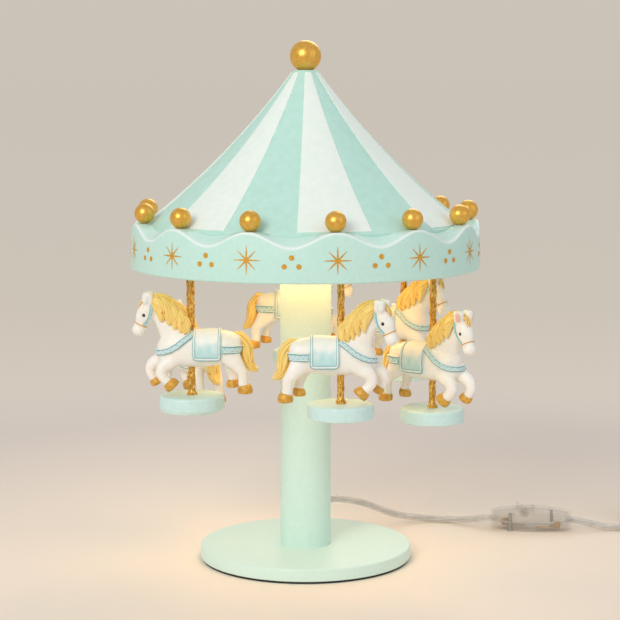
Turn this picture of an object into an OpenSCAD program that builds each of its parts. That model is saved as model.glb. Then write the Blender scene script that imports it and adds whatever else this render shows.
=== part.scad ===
// Carousel lamp: a weighted stand, a lit canopy that turns on a gearmotor in the post,
// and six horses on twisted poles.  Millimetres, Z up, front towards -Y,
// origin on the table under the centre of the post.

/* [Stand] */
// Diameter of the weighted base plate
base_d = 150; // [130:1:190]
// Thickness of the base plate
base_t = 8.6; // [8:0.1:14]
// Thickness of the soft pad under the base
pad_t = 1.6; // [1:0.1:3]
// How far the pad stays inside the edge of the base
pad_inset = 1.2; // [0.5:0.1:5]
// Outer diameter of the post
post_d = 36; // [34:0.5:46]
// Wall of the post tube
post_wall = 2; // [1.5:0.1:2.4]
// Diameter of the bolt that holds the post to the base
bolt_d = 8; // [6:0.5:10]
// Height of the cord outlet in the back of the post
outlet_z = 26; // [24:0.5:34]

/* [Canopy] */
// Outer diameter of the scalloped cornice
canopy_d = 244.6; // [240:0.2:270]
// Height of the lower edge of the cornice above the table
cornice_z = 208.5; // [205:0.5:240]
// Height of the carrier plate above the lower edge of the cornice
plate_rise = 13.5; // [12.5:0.1:16]
// Height of the cornice at a crest
crest_h = 32.8; // [28:0.1:40]
// How much lower the front edge lies in a trough
trough_drop = 9.3; // [4:0.1:11]
// How much lower the inner edge lies in a trough
inner_drop = 3.7; // [1:0.1:5]
// Wall of the cornice
cornice_wall = 3.6; // [3:0.1:5]
// Radial width of the sloping top band of the cornice
band_w = 9.4; // [8.5:0.1:11]
// Number of crests, each with a ball on it
crests = 13; // [8:1:16]
// Bearing of the first crest, measured from the front towards the right
crest_bearing = 9.8; // [0:0.1:28]
// Height of the roof from its rim to the seat of the finial
roof_h = 105.9; // [80:0.1:130]
// Height of the roof rim above the lower edge of the cornice
rim_rise = 30.8; // [27:0.1:33]
// How far the roof sags below a straight line
roof_sag = 5; // [0:0.5:9]
// Wall of the roof shell
roof_wall = 2.4; // [1.5:0.1:3]
// Radius of the flat top of the roof
roof_top_r = 8.2; // [7.5:0.1:12]
// Number of raised pale gores, with as many sunken ones between them
gores = 7; // [5:1:10]
// Thickness of a raised gore
gore_t = 0.5; // [0.3:0.1:1]
// Bearing of the middle of the first raised gore
gore_bearing = 10.15; // [0:0.05:50]
// Diameter of the ball on top
finial_d = 21.8; // [18:0.1:26]
// Diameter of each ball on the rim
rim_ball_d = 14; // [11:0.1:16]
// Thickness of the plate that carries the poles
plate_t = 2.5; // [2:0.1:4]
// Depth of the lip round the carrier plate
plate_lip_h = 8; // [5:0.5:11]

/* [Drive] */
// Diameter of the drive shaft
shaft_d = 4; // [3:0.5:5]
// Diameter of the gearmotor
motor_d = 25; // [20:0.5:27]
// Length of the gearmotor
motor_h = 54; // [40:1:70]
// Diameter of the hub flange
hub_flange_d = 44; // [36:1:60]
// Thickness of the hub flange
hub_flange_t = 3; // [2:0.1:5]
// Diameter of the hub boss
hub_boss_d = 12; // [10:0.5:16]
// Height of the hub boss above the carrier plate
hub_boss_h = 12; // [10:0.5:18]
// Thickness of the sliding washer under the hub
washer_t = 2; // [1:0.1:2.2]

/* [Light] */
// Diameter of the lamp tray and its diffuser
lamp_d = 100; // [90:1:120]
// Depth of the opal diffuser
diffuser_h = 7.5; // [6:0.1:8]
// Wall of the opal diffuser
diffuser_wall = 1.5; // [1:0.1:2]
// Number of light chips
chips = 16; // [8:1:24]

/* [Poles and horses] */
// How far the circle of poles lies inside the edge of the cornice
pole_inset = 26.3; // [24:0.1:30]
// Bearing of the first pole
pole_bearing = 14; // [0:0.5:20]
// Diameter of a pole
pole_d = 5; // [4:0.1:6]
// Diameter of the flared foot of a pole
pole_foot_d = 7.8; // [7:0.1:10]
// Height of the flared foot of a pole
pole_foot_h = 4.2; // [3:0.1:7]
// Diameter of a horse disc
disc_d = 44; // [36:0.5:48]
// Thickness of a horse disc
disc_t = 9.4; // [8:0.1:12]
// Height of the top of the lowest disc above the table
lowest_disc_z = 107.2; // [90:0.1:112]
// Height of a horse from its hooves to the tips of its ears
horse_h = 67; // [56:0.5:68]
// Gap between a disc and the lowest hoof above it
hoof_gap = 1.2; // [0.5:0.1:4]

/* [Cord and switch] */
// Diameter of the cord
cord_d = 5.4; // [4.5:0.1:6]
// Length of the switch body
switch_l = 60.4; // [58:0.1:62]
// Width of the switch body
switch_w = 23; // [20:0.5:26]
// Height of the switch body
switch_h = 16; // [14:0.5:18]
// Wall of the switch shells
switch_wall = 1.8; // [1.4:0.1:2.2]
// Length of the rocker
rocker_l = 14; // [12:0.5:16]
// Width of the rocker
rocker_w = 9; // [7:0.5:10]
// Tilt of the rocker when the lamp is on
rocker_tilt = 7; // [0:0.5:8]
// Layers in the stored coil, two turns in each
coil_layers = 4; // [3:1:5]
// Mean diameter of the stored coil
coil_mean_d = 64; // [58:0.5:68]

/* [Hidden] */
$fn = 96;

// Clearances
fit = 0.05;        // radial gap of a pin, shaft or screw in its hole
seat = 0.1;        // gap where one glued or pushed-in piece lies inside another
run_gap = 0.2;     // gap between faces that turn past each other
shell_gap = 0.3;   // gap between a curved shell and what it stands round
eps = 0.01;        // how far two shapes of one piece reach into each other

// Heights that several pieces share
base_top = pad_t + base_t;
plate_z = cornice_z + plate_rise;
plate_top = plate_z + plate_t;
tray_t = 2.5;
tray_top = plate_z - tray_t;
post_top = tray_top - tray_t;
tray_boss_h = 12;
motor_top = post_top - tray_boss_h;
motor_z = motor_top - motor_h;
hub_z = tray_top + washer_t + run_gap;
hub_top = plate_top + hub_boss_h;
rim_z = cornice_z + rim_rise;
roof_top = rim_z + roof_h;
crest_z = cornice_z + crest_h;
canopy_r = canopy_d / 2;
cornice_in_r = canopy_r - cornice_wall;
edge_lean = 0.7;
band_in_r = canopy_r - edge_lean - band_w;
roof_r = band_in_r - run_gap;
pole_circle_r = canopy_r - pole_inset;
post_r = post_d / 2;
post_in_r = post_r - post_wall;

// Horses: angle from the first pole, rise of the disc over the lowest one, heading from +X,
// turn of the head, 1 where the horse is the mirror image
HORSES = [[0, 20, 0, -28, 0], [51, 8, -40, -14, 0], [117, 22, -38, 0, 0], [168, 29, 0, 0, 0],
  [228, 0, 120, 0, 0], [293, 20, 180, 0, 1]];
poles = len(HORSES);
function pole_turn(i) = facing(pole_bearing + HORSES[i][0]);

// Turns a bearing (0 in front, growing to the right) into a rotation about Z
function facing(bearing) = bearing - 90;

module at_pole(i)
  rotate([0, 0, pole_turn(i)])
    translate([pole_circle_r, 0, 0])
      children();

function disc_top(i) = lowest_disc_z + HORSES[i][1];

// Ring of revolution between two radii and two heights
module ring(r_in, r_out, z, h)
  translate([0, 0, z])
    difference() {
      cylinder(r = r_out, h = h);
      translate([0, 0, -1])
        cylinder(r = r_in, h = h + 2);
    }

// ---------------------------------------------------------------- stand

pad_hole_r = 14;
edge_break = 0.6;
edge_round = 0.9;
plug_h = 16;
head_h = 5.3;
head_d = bolt_d * 1.6;
washer_d = bolt_d * 2.4;
bolt_washer_t = 1.2;

module foot_pad()
  color("dimgray")
    ring(pad_hole_r, base_d / 2 - pad_inset, 0, pad_t);

// Steel plate, edge slightly broken, with a counterbore for the bolt head
module base_plate()
  color("#bfe3d3")
    difference() {
      translate([0, 0, pad_t])
        rotate_extrude()
          polygon([[0, 0], [base_d / 2 - edge_break, 0], [base_d / 2, edge_break],
            [base_d / 2, base_t - edge_round], [base_d / 2 - edge_round, base_t], [0, base_t]]);
      translate([0, 0, -1])
        cylinder(d = bolt_d + 2 * fit, h = base_top + 2);
      cylinder(d = washer_d + 1, h = pad_t + head_pocket_h);
    }
pocket_roof_t = 1.8;
head_pocket_h = base_t - pocket_roof_t;

module base_washer()
  color("silver")
    ring(bolt_d / 2 + fit, washer_d / 2, pad_t + head_pocket_h - bolt_washer_t, bolt_washer_t);

// Hexagon head below the washer, shank up into the foot plug
bolt_head_top = pad_t + head_pocket_h - bolt_washer_t;
bolt_end_gap = 4;
module base_bolt()
  color("silver") {
    translate([0, 0, bolt_head_top - head_h])
      cylinder(d = head_d, h = head_h, $fn = 6);
    translate([0, 0, bolt_head_top - eps])
      cylinder(d = bolt_d, h = base_top + plug_h - bolt_end_gap - bolt_head_top);
  }

outlet_d = cord_d + 4.6;
module post_tube()
  color("#c9e8da")
    difference() {
      ring(post_in_r, post_r, base_top, post_top - base_top);
      translate([0, 0, outlet_z])
        rotate([-90, 0, 0])
          cylinder(d = outlet_d, h = post_d);
    }

// Turned plug inside the foot of the post, tapped for the bolt, slotted for the driver board
board_t = 1.6;
board_w = 24;
board_h = 62;
board_y = -6;
board_slot_h = 3;
module post_foot_plug()
  color("silver")
    difference() {
      translate([0, 0, base_top])
        cylinder(r = post_in_r - seat, h = plug_h);
      translate([0, 0, base_top - 1])
        cylinder(d = bolt_d + 2 * fit, h = plug_h + 2);
      translate([-board_w / 2 - seat, board_y - seat, base_top + plug_h - board_slot_h])
        cube([board_w + 2 * seat, board_t + 2 * seat, board_slot_h + 1]);
      translate([0, 0, outlet_z])
        rotate([-90, 0, 0])
          cylinder(d = outlet_d + 4, h = post_d);
    }

// Soft bush that the cord leaves the post through, with a tapered nose
grommet_nose = 22;
grommet_flange_t = 1.6;
module cord_grommet()
  color("white")
    translate([0, 0, outlet_z])
      rotate([-90, 0, 0])
        difference() {
          union() {
            translate([0, 0, post_in_r - 1])
              cylinder(d = outlet_d - 2 * seat, h = grommet_root - post_in_r + 1 + eps);
            translate([0, 0, grommet_root])
              cylinder(d = outlet_d + 2.4, h = grommet_flange_t);
            translate([0, 0, grommet_root + grommet_flange_t - eps])
              cylinder(d1 = outlet_d - 0.6, d2 = cord_d + 1.6, h = grommet_nose - grommet_flange_t);
          }
          translate([0, 0, post_in_r - 2])
            cylinder(d = cord_d + 2 * seat, h = grommet_nose + post_wall + 6);
        }
grommet_root = post_r + 0.4; // the flange just clears the round of the post

// Board that feeds the motor and the light: board, transformer and capacitor
transformer = [13, 11, 15];
transformer_rise = 16;
capacitor_d = 8;
capacitor_h = 13;
capacitor_rise = 42;
module driver_board() {
  board_z = base_top + plug_h - board_slot_h;
  color("seagreen")
    translate([-board_w / 2, board_y, board_z])
      cube([board_w, board_t, board_h]);
  color("gold")
    translate([-transformer.x / 2, board_y + board_t, board_z + transformer_rise])
      cube(transformer);
  color("black")
    translate([0, board_y - capacitor_d / 2 - fit, board_z + capacitor_rise])
      cylinder(d = capacitor_d, h = capacitor_h);
}

// ---------------------------------------------------------------- light and drive

bearing_d = shaft_d + 4;
bearing_h = 3;
collar_d = 7;
collar_h = 2.5;
tray_boss_r = post_in_r - seat;
motor_screw_r = 8.5;
screw_d = 3;
screw_head_d = 5.5;
screw_head_h = 2.2;
screw_seat_z = post_top - 2.5;
motor_boss_h = 1.6;
motor_bore_h = 14;
shaft_grip = 12;
motor_thread_h = 5;

module at_motor_screws()
  for (side = [-1, 1])
    translate([side * motor_screw_r, 0, 0])
      children();

// Plug in the top of the post with a wide tray; holds the bearing, motor and light
module lamp_tray()
  color("whitesmoke")
    difference() {
      union() {
        translate([0, 0, post_top])
          cylinder(d = lamp_d, h = tray_t);
        translate([0, 0, motor_top])
          cylinder(r = tray_boss_r, h = tray_boss_h + eps);
      }
      translate([0, 0, motor_top - 1])
        cylinder(d = collar_d + 2 * seat, h = tray_boss_h + tray_t + 2);
      translate([0, 0, tray_top - bearing_h])
        cylinder(d = bearing_d + 2 * fit, h = bearing_h + 1);
      at_motor_screws() {
        translate([0, 0, motor_top - 1])
          cylinder(d = screw_d + 2 * fit, h = tray_boss_h + tray_t + 2);
        translate([0, 0, screw_seat_z])
          cylinder(d = screw_head_d + 0.4, h = tray_top);
      }
    }

module gearmotor()
  color("gray")
    difference() {
      union() {
        translate([0, 0, motor_z])
          cylinder(d = motor_d, h = motor_h);
        translate([0, 0, motor_top - eps])
          cylinder(d = collar_d, h = collar_h);
        translate([0, 0, motor_z - motor_boss_h])
          cylinder(d = motor_d * 0.4, h = motor_boss_h + eps);
      }
      translate([0, 0, motor_top - motor_bore_h])
        cylinder(d = shaft_d + 2 * fit, h = motor_bore_h + collar_h + 1);
      at_motor_screws()
        translate([0, 0, motor_top - motor_thread_h])
          cylinder(d = screw_d + 2 * fit, h = motor_thread_h + 1);
    }

module motor_screws()
  color("silver")
    at_motor_screws() {
      translate([0, 0, motor_top - motor_thread_h + 1])
        cylinder(d = screw_d, h = screw_seat_z - motor_top + motor_thread_h - 1 + eps);
      translate([0, 0, screw_seat_z])
        cylinder(d = screw_head_d, h = screw_head_h);
    }

module shaft_bearing()
  color("silver")
    ring(shaft_d / 2 + fit, bearing_d / 2, tray_top - bearing_h, bearing_h);

module thrust_washer()
  color("white")
    ring(bearing_d / 2 + 1, motor_screw_r + screw_head_d, tray_top, washer_t);

led_t = 1.6;
led_in_r = post_r + 5;
led_out_r = lamp_d / 2 - diffuser_wall - 2.5;
chip_size = [3.5, 2.8, 0.7];
module led_board()
  color("ivory")
    ring(led_in_r, led_out_r, post_top - led_t, led_t);

module led_chips()
  color("khaki")
    for (i = [0 : chips - 1])
      rotate([0, 0, i * 360 / chips])
        translate([(led_in_r + led_out_r) / 2, -chip_size.y / 2, post_top - led_t - chip_size.z])
          cube(chip_size);

// Opal dish round the top of the post, under the light chips
diffuser_in_r = post_r + shell_gap;
module diffuser()
  color("cornsilk")
    translate([0, 0, post_top - diffuser_h])
      rotate_extrude()
        polygon([[diffuser_in_r, 0], [lamp_d / 2 - 2, 0], [lamp_d / 2, 2], [lamp_d / 2, diffuser_h],
          [lamp_d / 2 - diffuser_wall, diffuser_h], [lamp_d / 2 - diffuser_wall, diffuser_wall + 0.8],
          [lamp_d / 2 - diffuser_wall - 0.8, diffuser_wall],
          [diffuser_in_r + diffuser_wall, diffuser_wall], [diffuser_in_r + diffuser_wall, diffuser_h],
          [diffuser_in_r, diffuser_h]]);

// ---------------------------------------------------------------- hub and canopy

shaft_z = motor_top - shaft_grip;
hub_screws_n = 4;
hub_screw_r = (hub_boss_d + hub_flange_d) / 4;
grub_z = (plate_top + hub_flange_t + hub_top) / 2;
hub_bottom = max(hub_z, plate_z - 0.5); // never lower than the sliding washer

module drive_shaft()
  color("silver")
    translate([0, 0, shaft_z])
      cylinder(d = shaft_d, h = hub_top + 1 - shaft_z);

module at_hub_screws()
  for (i = [0 : hub_screws_n - 1])
    rotate([0, 0, 45 + i * 360 / hub_screws_n])
      translate([hub_screw_r, 0, 0])
        children();

module hub()
  color("goldenrod")
    difference() {
      union() {
        translate([0, 0, hub_bottom])
          cylinder(d = hub_boss_d, h = hub_top - hub_bottom);
        translate([0, 0, plate_top])
          cylinder(d = hub_flange_d, h = hub_flange_t);
      }
      translate([0, 0, hub_bottom - 1])
        cylinder(d = shaft_d + 2 * fit, h = hub_top);
      at_hub_screws()
        translate([0, 0, plate_top - 1])
          cylinder(d = screw_d + 2 * fit, h = hub_flange_t + 2);
      translate([0, 0, grub_z])
        rotate([0, 90, 0])
          cylinder(d = screw_d + 2 * fit, h = hub_boss_d);
    }

// Four screws through the flange and the grub screw on the shaft
module hub_screws()
  color("silver") {
    at_hub_screws() {
      translate([0, 0, plate_z + 0.3])
        cylinder(d = screw_d, h = plate_t + hub_flange_t - 0.3 + eps);
      translate([0, 0, plate_top + hub_flange_t])
        cylinder(d = screw_head_d, h = screw_head_h);
    }
    translate([shaft_d / 2 + 2 * fit, 0, grub_z])
      rotate([0, 90, 0])
        cylinder(d = screw_d, h = (hub_boss_d - shaft_d) / 2 - 0.6);
  }

ferrule_hole_d = pole_d + 2.2;
plate_r = cornice_in_r - seat;
lip_wall = 2;

// Round plate inside the cornice; carries the six poles and stands on the hub
module carrier_plate()
  color("#bfe3d3")
    difference() {
      union() {
        translate([0, 0, plate_z])
          cylinder(r = plate_r, h = plate_t);
        ring(plate_r - lip_wall, plate_r, plate_z - plate_lip_h, plate_lip_h + eps);
      }
      translate([0, 0, plate_z - 1])
        cylinder(d = hub_boss_d + 2 * seat, h = plate_t + 2);
      at_hub_screws()
        translate([0, 0, plate_z - 1])
          cylinder(d = screw_d + 2 * fit, h = plate_t + 2);
      for (i = [0 : poles - 1])
        at_pole(i)
          translate([0, 0, plate_z - 1])
            cylinder(d = ferrule_hole_d + 2 * fit, h = plate_t + 2);
    }

// Cornice: one closed loft round the axis.  Its upper edge is a wave, level across the
// band at a crest and sloping outwards in a trough; each crest ends in a small flat seat.
steps_per_crest = 10;
columns = crests * steps_per_crest;
flat_wave = 0.5 + 0.5 * cos(180 / steps_per_crest);
function wave(k) = (0.5 + 0.5 * cos((k + 0.5) * 360 / steps_per_crest)) / flat_wave;
function outer_edge_z(k) = crest_z - trough_drop * (1 - wave(k));
function inner_edge_z(k) = crest_z - inner_drop * (1 - wave(k));
function cornice_section(k) = [
  [cornice_in_r, cornice_z],
  [canopy_r - 1.4, cornice_z],
  [canopy_r, cornice_z + 1.6],
  [canopy_r - edge_lean, outer_edge_z(k) - 0.5],
  [canopy_r - edge_lean - 0.4, outer_edge_z(k)],
  [band_in_r, inner_edge_z(k)],
  [band_in_r, inner_edge_z(k) - 2.2],
  [cornice_in_r, outer_edge_z(k) - 3]];
section_n = len(cornice_section(0));

module cornice()
  color("#c9e8da")
    polyhedron(
      points = [for (k = [0 : columns - 1])
        let (a = facing(crest_bearing) + (k + 0.5) * 360 / columns)
          for (p = cornice_section(k)) [p.x * cos(a), p.x * sin(a), p.y]],
      faces = [for (k = [0 : columns - 1]) for (j = [0 : section_n - 1])
        let (k2 = (k + 1) % columns, j2 = (j + 1) % section_n)
          each [[k * section_n + j, k * section_n + j2, k2 * section_n + j2],
            [k * section_n + j, k2 * section_n + j2, k2 * section_n + j]]]);

// Roof: one sagging curve from the flat top to the rim
roof_a = [roof_top_r, roof_top];
roof_c = [roof_r, rim_z];
roof_dir = (roof_c - roof_a) / norm(roof_c - roof_a);
roof_b = (roof_a + roof_c) / 2 + 2 * roof_sag * [roof_dir.y, -roof_dir.x];
roof_steps = 12;
function roof_point(t, out) =
  let (p = (1 - t) * (1 - t) * roof_a + 2 * t * (1 - t) * roof_b + t * t * roof_c,
       d = (1 - t) * (roof_b - roof_a) + t * (roof_c - roof_b))
    p + out * [-d.y, d.x] / norm(d);
function roof_curve(out, t0, t1) =
  [for (k = [0 : roof_steps]) roof_point(t0 + (t1 - t0) * k / roof_steps, out)];
function reversed(list) = [for (k = [len(list) - 1 : -1 : 0]) list[k]];

stud_d = 5;
stud_l = 13;
module roof_shell()
  color("#b5dccb")
    rotate_extrude()
      polygon(concat(
        [[stud_d / 2 + fit, roof_top]],
        roof_curve(0, 0, 1),
        [[roof_r, plate_top], [roof_r - roof_wall, plate_top]],
        [[roof_r - roof_wall, rim_z - 1]],
        reversed(roof_curve(-roof_wall, 0.06, 0.97)),
        [[stud_d / 2 + fit, roof_point(0.06, -roof_wall).y]]));

module roof_gores()
  color("#e9f5ea")
    for (i = [0 : gores - 1])
      rotate([0, 0, facing(gore_bearing) + i * 360 / gores - 90 / gores])
        rotate_extrude(angle = 180 / gores)
          polygon(concat(roof_curve(fit, 0.015, 0.985),
            reversed(roof_curve(fit + gore_t, 0.015, 0.985))));

finial_r = finial_d / 2;
finial_seat_r = 4.8;
finial_z = roof_top + sqrt(finial_r * finial_r - finial_seat_r * finial_seat_r);
module finial()
  color("gold") {
    intersection() {
      translate([0, 0, finial_z])
        sphere(d = finial_d);
      translate([-finial_d, -finial_d, roof_top])
        cube(2 * finial_d);
    }
    translate([0, 0, roof_top - stud_l])
      cylinder(d = stud_d, h = stud_l + 2);
  }

nut_h = 4;
module finial_nut()
  color("silver")
    translate([0, 0, roof_point(0.06, -roof_wall).y - nut_h])
      difference() {
        cylinder(d = stud_d * 1.9, h = nut_h, $fn = 6);
        translate([0, 0, -1])
          cylinder(d = stud_d + 2 * fit, h = nut_h + 2);
      }

// Balls with a small flat, glued on the crests
ball_flat_r = 2.2;
ball_r = rim_ball_d / 2;
ball_circle_r = band_in_r + ball_flat_r + 0.1;
module rim_balls()
  color("gold")
    for (i = [0 : crests - 1])
      rotate([0, 0, facing(crest_bearing) + i * 360 / crests])
        intersection() {
          translate([ball_circle_r, 0, crest_z + sqrt(ball_r * ball_r - ball_flat_r * ball_flat_r)])
            sphere(d = rim_ball_d);
          translate([0, -rim_ball_d, crest_z])
            cube([canopy_d, 2 * rim_ball_d, 2 * rim_ball_d]);
        }

// ---------------------------------------------------------------- poles, discs and horses

ferrule_flange_d = pole_d + 4.5;
ferrule_flange_t = 1.5;
pole_nut_h = 4;
pole_top = plate_top + pole_nut_h + 1;
disc_floor = 3;
disc_screw_d = 3;
disc_screw_head_d = 6.4;
disc_screw_head_h = 1.8;
disc_screw_depth = 7;

module pole_ferrules()
  color("gold")
    for (i = [0 : poles - 1])
      at_pole(i)
        difference() {
          union() {
            translate([0, 0, plate_z - ferrule_flange_t])
              cylinder(d = ferrule_flange_d, h = ferrule_flange_t);
            translate([0, 0, plate_z - eps])
              cylinder(d = ferrule_hole_d, h = plate_t);
          }
          translate([0, 0, plate_z - 5])
            cylinder(d = pole_d + 2 * fit, h = plate_t + 10);
        }

module pole_nuts()
  color("silver")
    for (i = [0 : poles - 1])
      at_pole(i)
        translate([0, 0, plate_top])
          difference() {
            cylinder(d = pole_d * 2, h = pole_nut_h, $fn = 6);
            translate([0, 0, -1])
              cylinder(d = pole_d + 2 * fit, h = pole_nut_h + 2);
          }

module pole(i)
  color("goldenrod")
    at_pole(i)
      difference() {
        union() {
          translate([0, 0, disc_top(i) - disc_t + disc_floor])
            cylinder(d = pole_d, h = pole_top - disc_top(i) + disc_t - disc_floor);
          translate([0, 0, disc_top(i)])
            cylinder(d1 = pole_foot_d, d2 = pole_d, h = pole_foot_h);
        }
        translate([0, 0, disc_top(i) - disc_t + disc_floor - 1])
          cylinder(d = disc_screw_d + 2 * fit, h = disc_screw_depth + 1);
      }

// Turned disc under each horse, upper edge rounded over
disc_round = 1.8;
module horse_disc(i)
  color("#cfe9dc")
    at_pole(i)
      translate([0, 0, disc_top(i) - disc_t])
        difference() {
          rotate_extrude()
            polygon(concat([[0, 0], [disc_d / 2 - 0.5, 0], [disc_d / 2, 0.5]],
              [for (a = [0 : 18 : 90]) [disc_d / 2 - disc_round + disc_round * cos(a),
                disc_t - disc_round + disc_round * sin(a)]],
              [[0, disc_t]]));
          translate([0, 0, disc_floor])
            cylinder(d = pole_d + 2 * fit, h = disc_t);
          translate([0, 0, -1])
            cylinder(d = disc_screw_d + 2 * fit, h = disc_t);
          translate([0, 0, -1])
            cylinder(d = disc_screw_head_d + 0.4, h = 1 + disc_screw_head_h);
        }

module disc_screws()
  color("silver")
    for (i = [0 : poles - 1])
      at_pole(i)
        translate([0, 0, disc_top(i) - disc_t]) {
          cylinder(d = disc_screw_head_d, h = disc_screw_head_h);
          cylinder(d = disc_screw_d, h = disc_floor + disc_screw_depth - 0.5);
        }

// One closed skin over oval sections [x, y, z, half width, half height, pitch].
// The pitch is the angle of the section's own axis above +X.
function oval(s, n) = [for (k = [0 : n - 1])
  let (a = k * 360 / n, v = s[4] * sin(a))
    [s[0] - v * sin(s[5]), s[1] + s[3] * cos(a), s[2] + v * cos(s[5])]];
module skin(sections, n) {
  m = len(sections);
  polyhedron(
    points = [for (s = sections) each oval(s, n)],
    faces = concat(
      [[for (k = [0 : n - 1]) k]],
      [[for (k = [n - 1 : -1 : 0]) (m - 1) * n + k]],
      [for (i = [0 : m - 2]) for (k = [0 : n - 1])
        let (k2 = (k + 1) % n)
          each [[i * n + k, (i + 1) * n + k, (i + 1) * n + k2], [i * n + k, (i + 1) * n + k2, i * n + k2]]]));
}

// Sections of the moulded horse, X forward, pole on the Z axis, hooves down to 0
TRUNK = [[-34, 0, 34, 3.6, 4.5, 0], [-31, 0, 33.6, 7.4, 8.2, 0], [-24, 0, 33, 9.8, 11, 0],
  [-12, 0, 31.8, 9.6, 11.3, 0], [0, 0, 31.6, 9.4, 12, 0], [10, 0, 31.5, 9.2, 12, 0],
  [18, 0, 31, 7.6, 9.8, 0], [22.5, 0, 30.4, 4.2, 5.6, 0]];
BLANKET = [[-20.9, 0, 32.9, 10.5, 11.8, 0], [-12, 0, 32.2, 10.6, 12.1, 0], [-0.6, 0, 31.9, 10.4, 12.8, 0]];
NECK = [[6, 0, 32, 7.6, 12.4, 45], [10.5, 0, 39.5, 7, 10.8, 56], [15, 0, 47, 5.8, 8.6, 60],
  [19.5, 0, 54, 5, 7, 58], [24, 0, 60, 4.2, 5, 48]];
HEAD = [[23.5, 0, 63, 3.4, 3.2, -62], [27.6, 0, 58, 5.6, 6.5, -64], [31.2, 0, 52.4, 5.1, 6.2, -64],
  [33.8, 0, 47.4, 4, 4.5, -64], [35.5, 0, 43, 4.6, 4.7, -66], [37, 0, 39.2, 2.5, 2.4, -66]];
EAR = [[28.8, 3, 59.8, 2.2, 3, 80], [29.6, 3.7, 63.4, 2.3, 3.2, 80], [30.3, 4, 67, 0.7, 1, 80]];
MANE = [[1.5, 0, 42.5, 5.6, 2.6, 58], [4.6, 0, 47, 7.6, 4.6, 56], [8.6, 0, 53, 7.6, 5.6, 56],
  [13, 0, 58.4, 7.2, 6, 52], [18.4, 0, 62, 6, 4.6, 34], [24, 0, 64.4, 4, 3, 8],
  [28.6, 0, 63.8, 2.2, 1.8, -35]];
TAIL = [[-27.5, 0, 40, 2.2, 1.6, 165], [-32.6, 0, 39, 3.8, 2.8, 205], [-36.6, 0, 33, 4.6, 4, 252],
  [-37, 0, 26, 4.8, 4.6, 268], [-38, 0, 21, 4.6, 4.2, 255], [-41, 0, 17.4, 3.4, 3.4, 215],
  [-44.4, 0, 15.2, 1.4, 1.4, 200]];
// Legs: hip or shoulder down to the hoof, near side on -Y
LEG_HIND_NEAR = [[-24, -4.6, 29, 4.8, 8, 255], [-29.2, -5.2, 21.4, 4.4, 5.6, 242],
  [-34.2, -5.4, 15.4, 3.5, 4, 255],
  [-34.9, -5.4, 9.4, 3.1, 3.4, 268], [-35.7, -5.4, 5.6, 3.9, 4.2, 266], [-36.1, -5.4, 1, 4.4, 4.8, 270],
  [-36.1, -5.4, 0, 4, 4.4, 270]];
LEG_HIND_FAR = [[-20, 4.6, 28, 4.8, 7, 262], [-23.6, 5, 20.4, 4.2, 4.8, 256],
  [-25.8, 5.2, 14.6, 3.2, 3.4, 258],
  [-27.4, 5.2, 9.6, 2.9, 3, 257], [-27.4, 5.2, 7, 3.7, 3.7, 266], [-27.1, 5.2, 3.6, 3.9, 3.9, 268],
  [-27, 5.2, 2.7, 3.5, 3.5, 270]];
LEG_FORE_NEAR = [[10, -4.4, 26.4, 4.9, 7, 306], [15, -5, 21.2, 4.5, 5.2, 325],
  [19.6, -5.5, 17, 3.9, 4.3, 300],
  [19.2, -5.5, 12, 3.4, 3.6, 244], [15.4, -5.5, 8, 3.8, 4, 228], [12, -5.5, 4.9, 4.4, 4.9, 226],
  [11.3, -5.5, 4.3, 3.9, 4.4, 226]];
LEG_FORE_FAR = [[14, 4.4, 27.4, 4.9, 6.6, 315], [21, 5, 22.4, 4.5, 5.2, 335],
  [26.9, 5.4, 18.2, 3.9, 4.3, 304],
  [28, 5.4, 13.4, 3.2, 3.4, 256], [25.6, 5.4, 9, 3.5, 3.7, 238], [23.2, 5.4, 5.9, 4, 4.3, 236],
  [22.7, 5.4, 5.3, 3.6, 3.8, 236]];

module horse_head(turn)
  translate([10, 0, 0])
    rotate([0, 0, turn])
      translate([-10, 0, 0]) {
        skin(NECK, 12);
        skin(HEAD, 12);
        skin(MANE, 10);
        for (side = [0, 1])
          mirror([0, side, 0])
            skin(EAR, 6);
      }

module horse(i)
  color("ivory")
    at_pole(i)
      translate([0, 0, disc_top(i) + hoof_gap])
        rotate([0, 0, HORSES[i][2] - pole_turn(i)])
          difference() {
            resize([0, 0, horse_h], auto = true)
              mirror([0, HORSES[i][4], 0]) {
                skin(TRUNK, 14);
                intersection() {
                  skin(BLANKET, 16);
                  translate([-30, -20, 23])
                    cube([40, 40, 30]);
                }
                horse_head(HORSES[i][3]);
                skin(TAIL, 10);
                skin(LEG_HIND_NEAR, 10);
                skin(LEG_HIND_FAR, 10);
                skin(LEG_FORE_NEAR, 10);
                skin(LEG_FORE_FAR, 10);
              }
            cylinder(d = pole_d + 2 * fit, h = horse_h + 10);
          }

// ---------------------------------------------------------------- cord, switch and plug

switch_at = [171.5, 80];
switch_turn = -6;
split_z = switch_h / 2;
pin_d = 1.6;
pivot_drop = 2.6;
pivot_z = switch_h - pivot_drop;
rocker_x = -5;
rocker_gap = 0.5;
end_w = 13;

module at_switch()
  translate([switch_at.x, switch_at.y, 0])
    rotate([0, 0, switch_turn])
      children();

// Outline of the switch body seen from above: both long sides are one shallow curve
outline_steps = 7;
function switch_half_w(x) = end_w / 2 + (switch_w - end_w) / 2 * (1 - pow(2 * x / switch_l, 2));
function switch_side(inset) =
  let (l = switch_l / 2 - inset)
    [for (k = [-outline_steps : outline_steps]) [l * k / outline_steps,
      switch_half_w(l * k / outline_steps) - inset]];
function switch_outline(inset) =
  concat(switch_side(inset), [for (p = reversed(switch_side(inset))) [p.x, -p.y]]);

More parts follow.
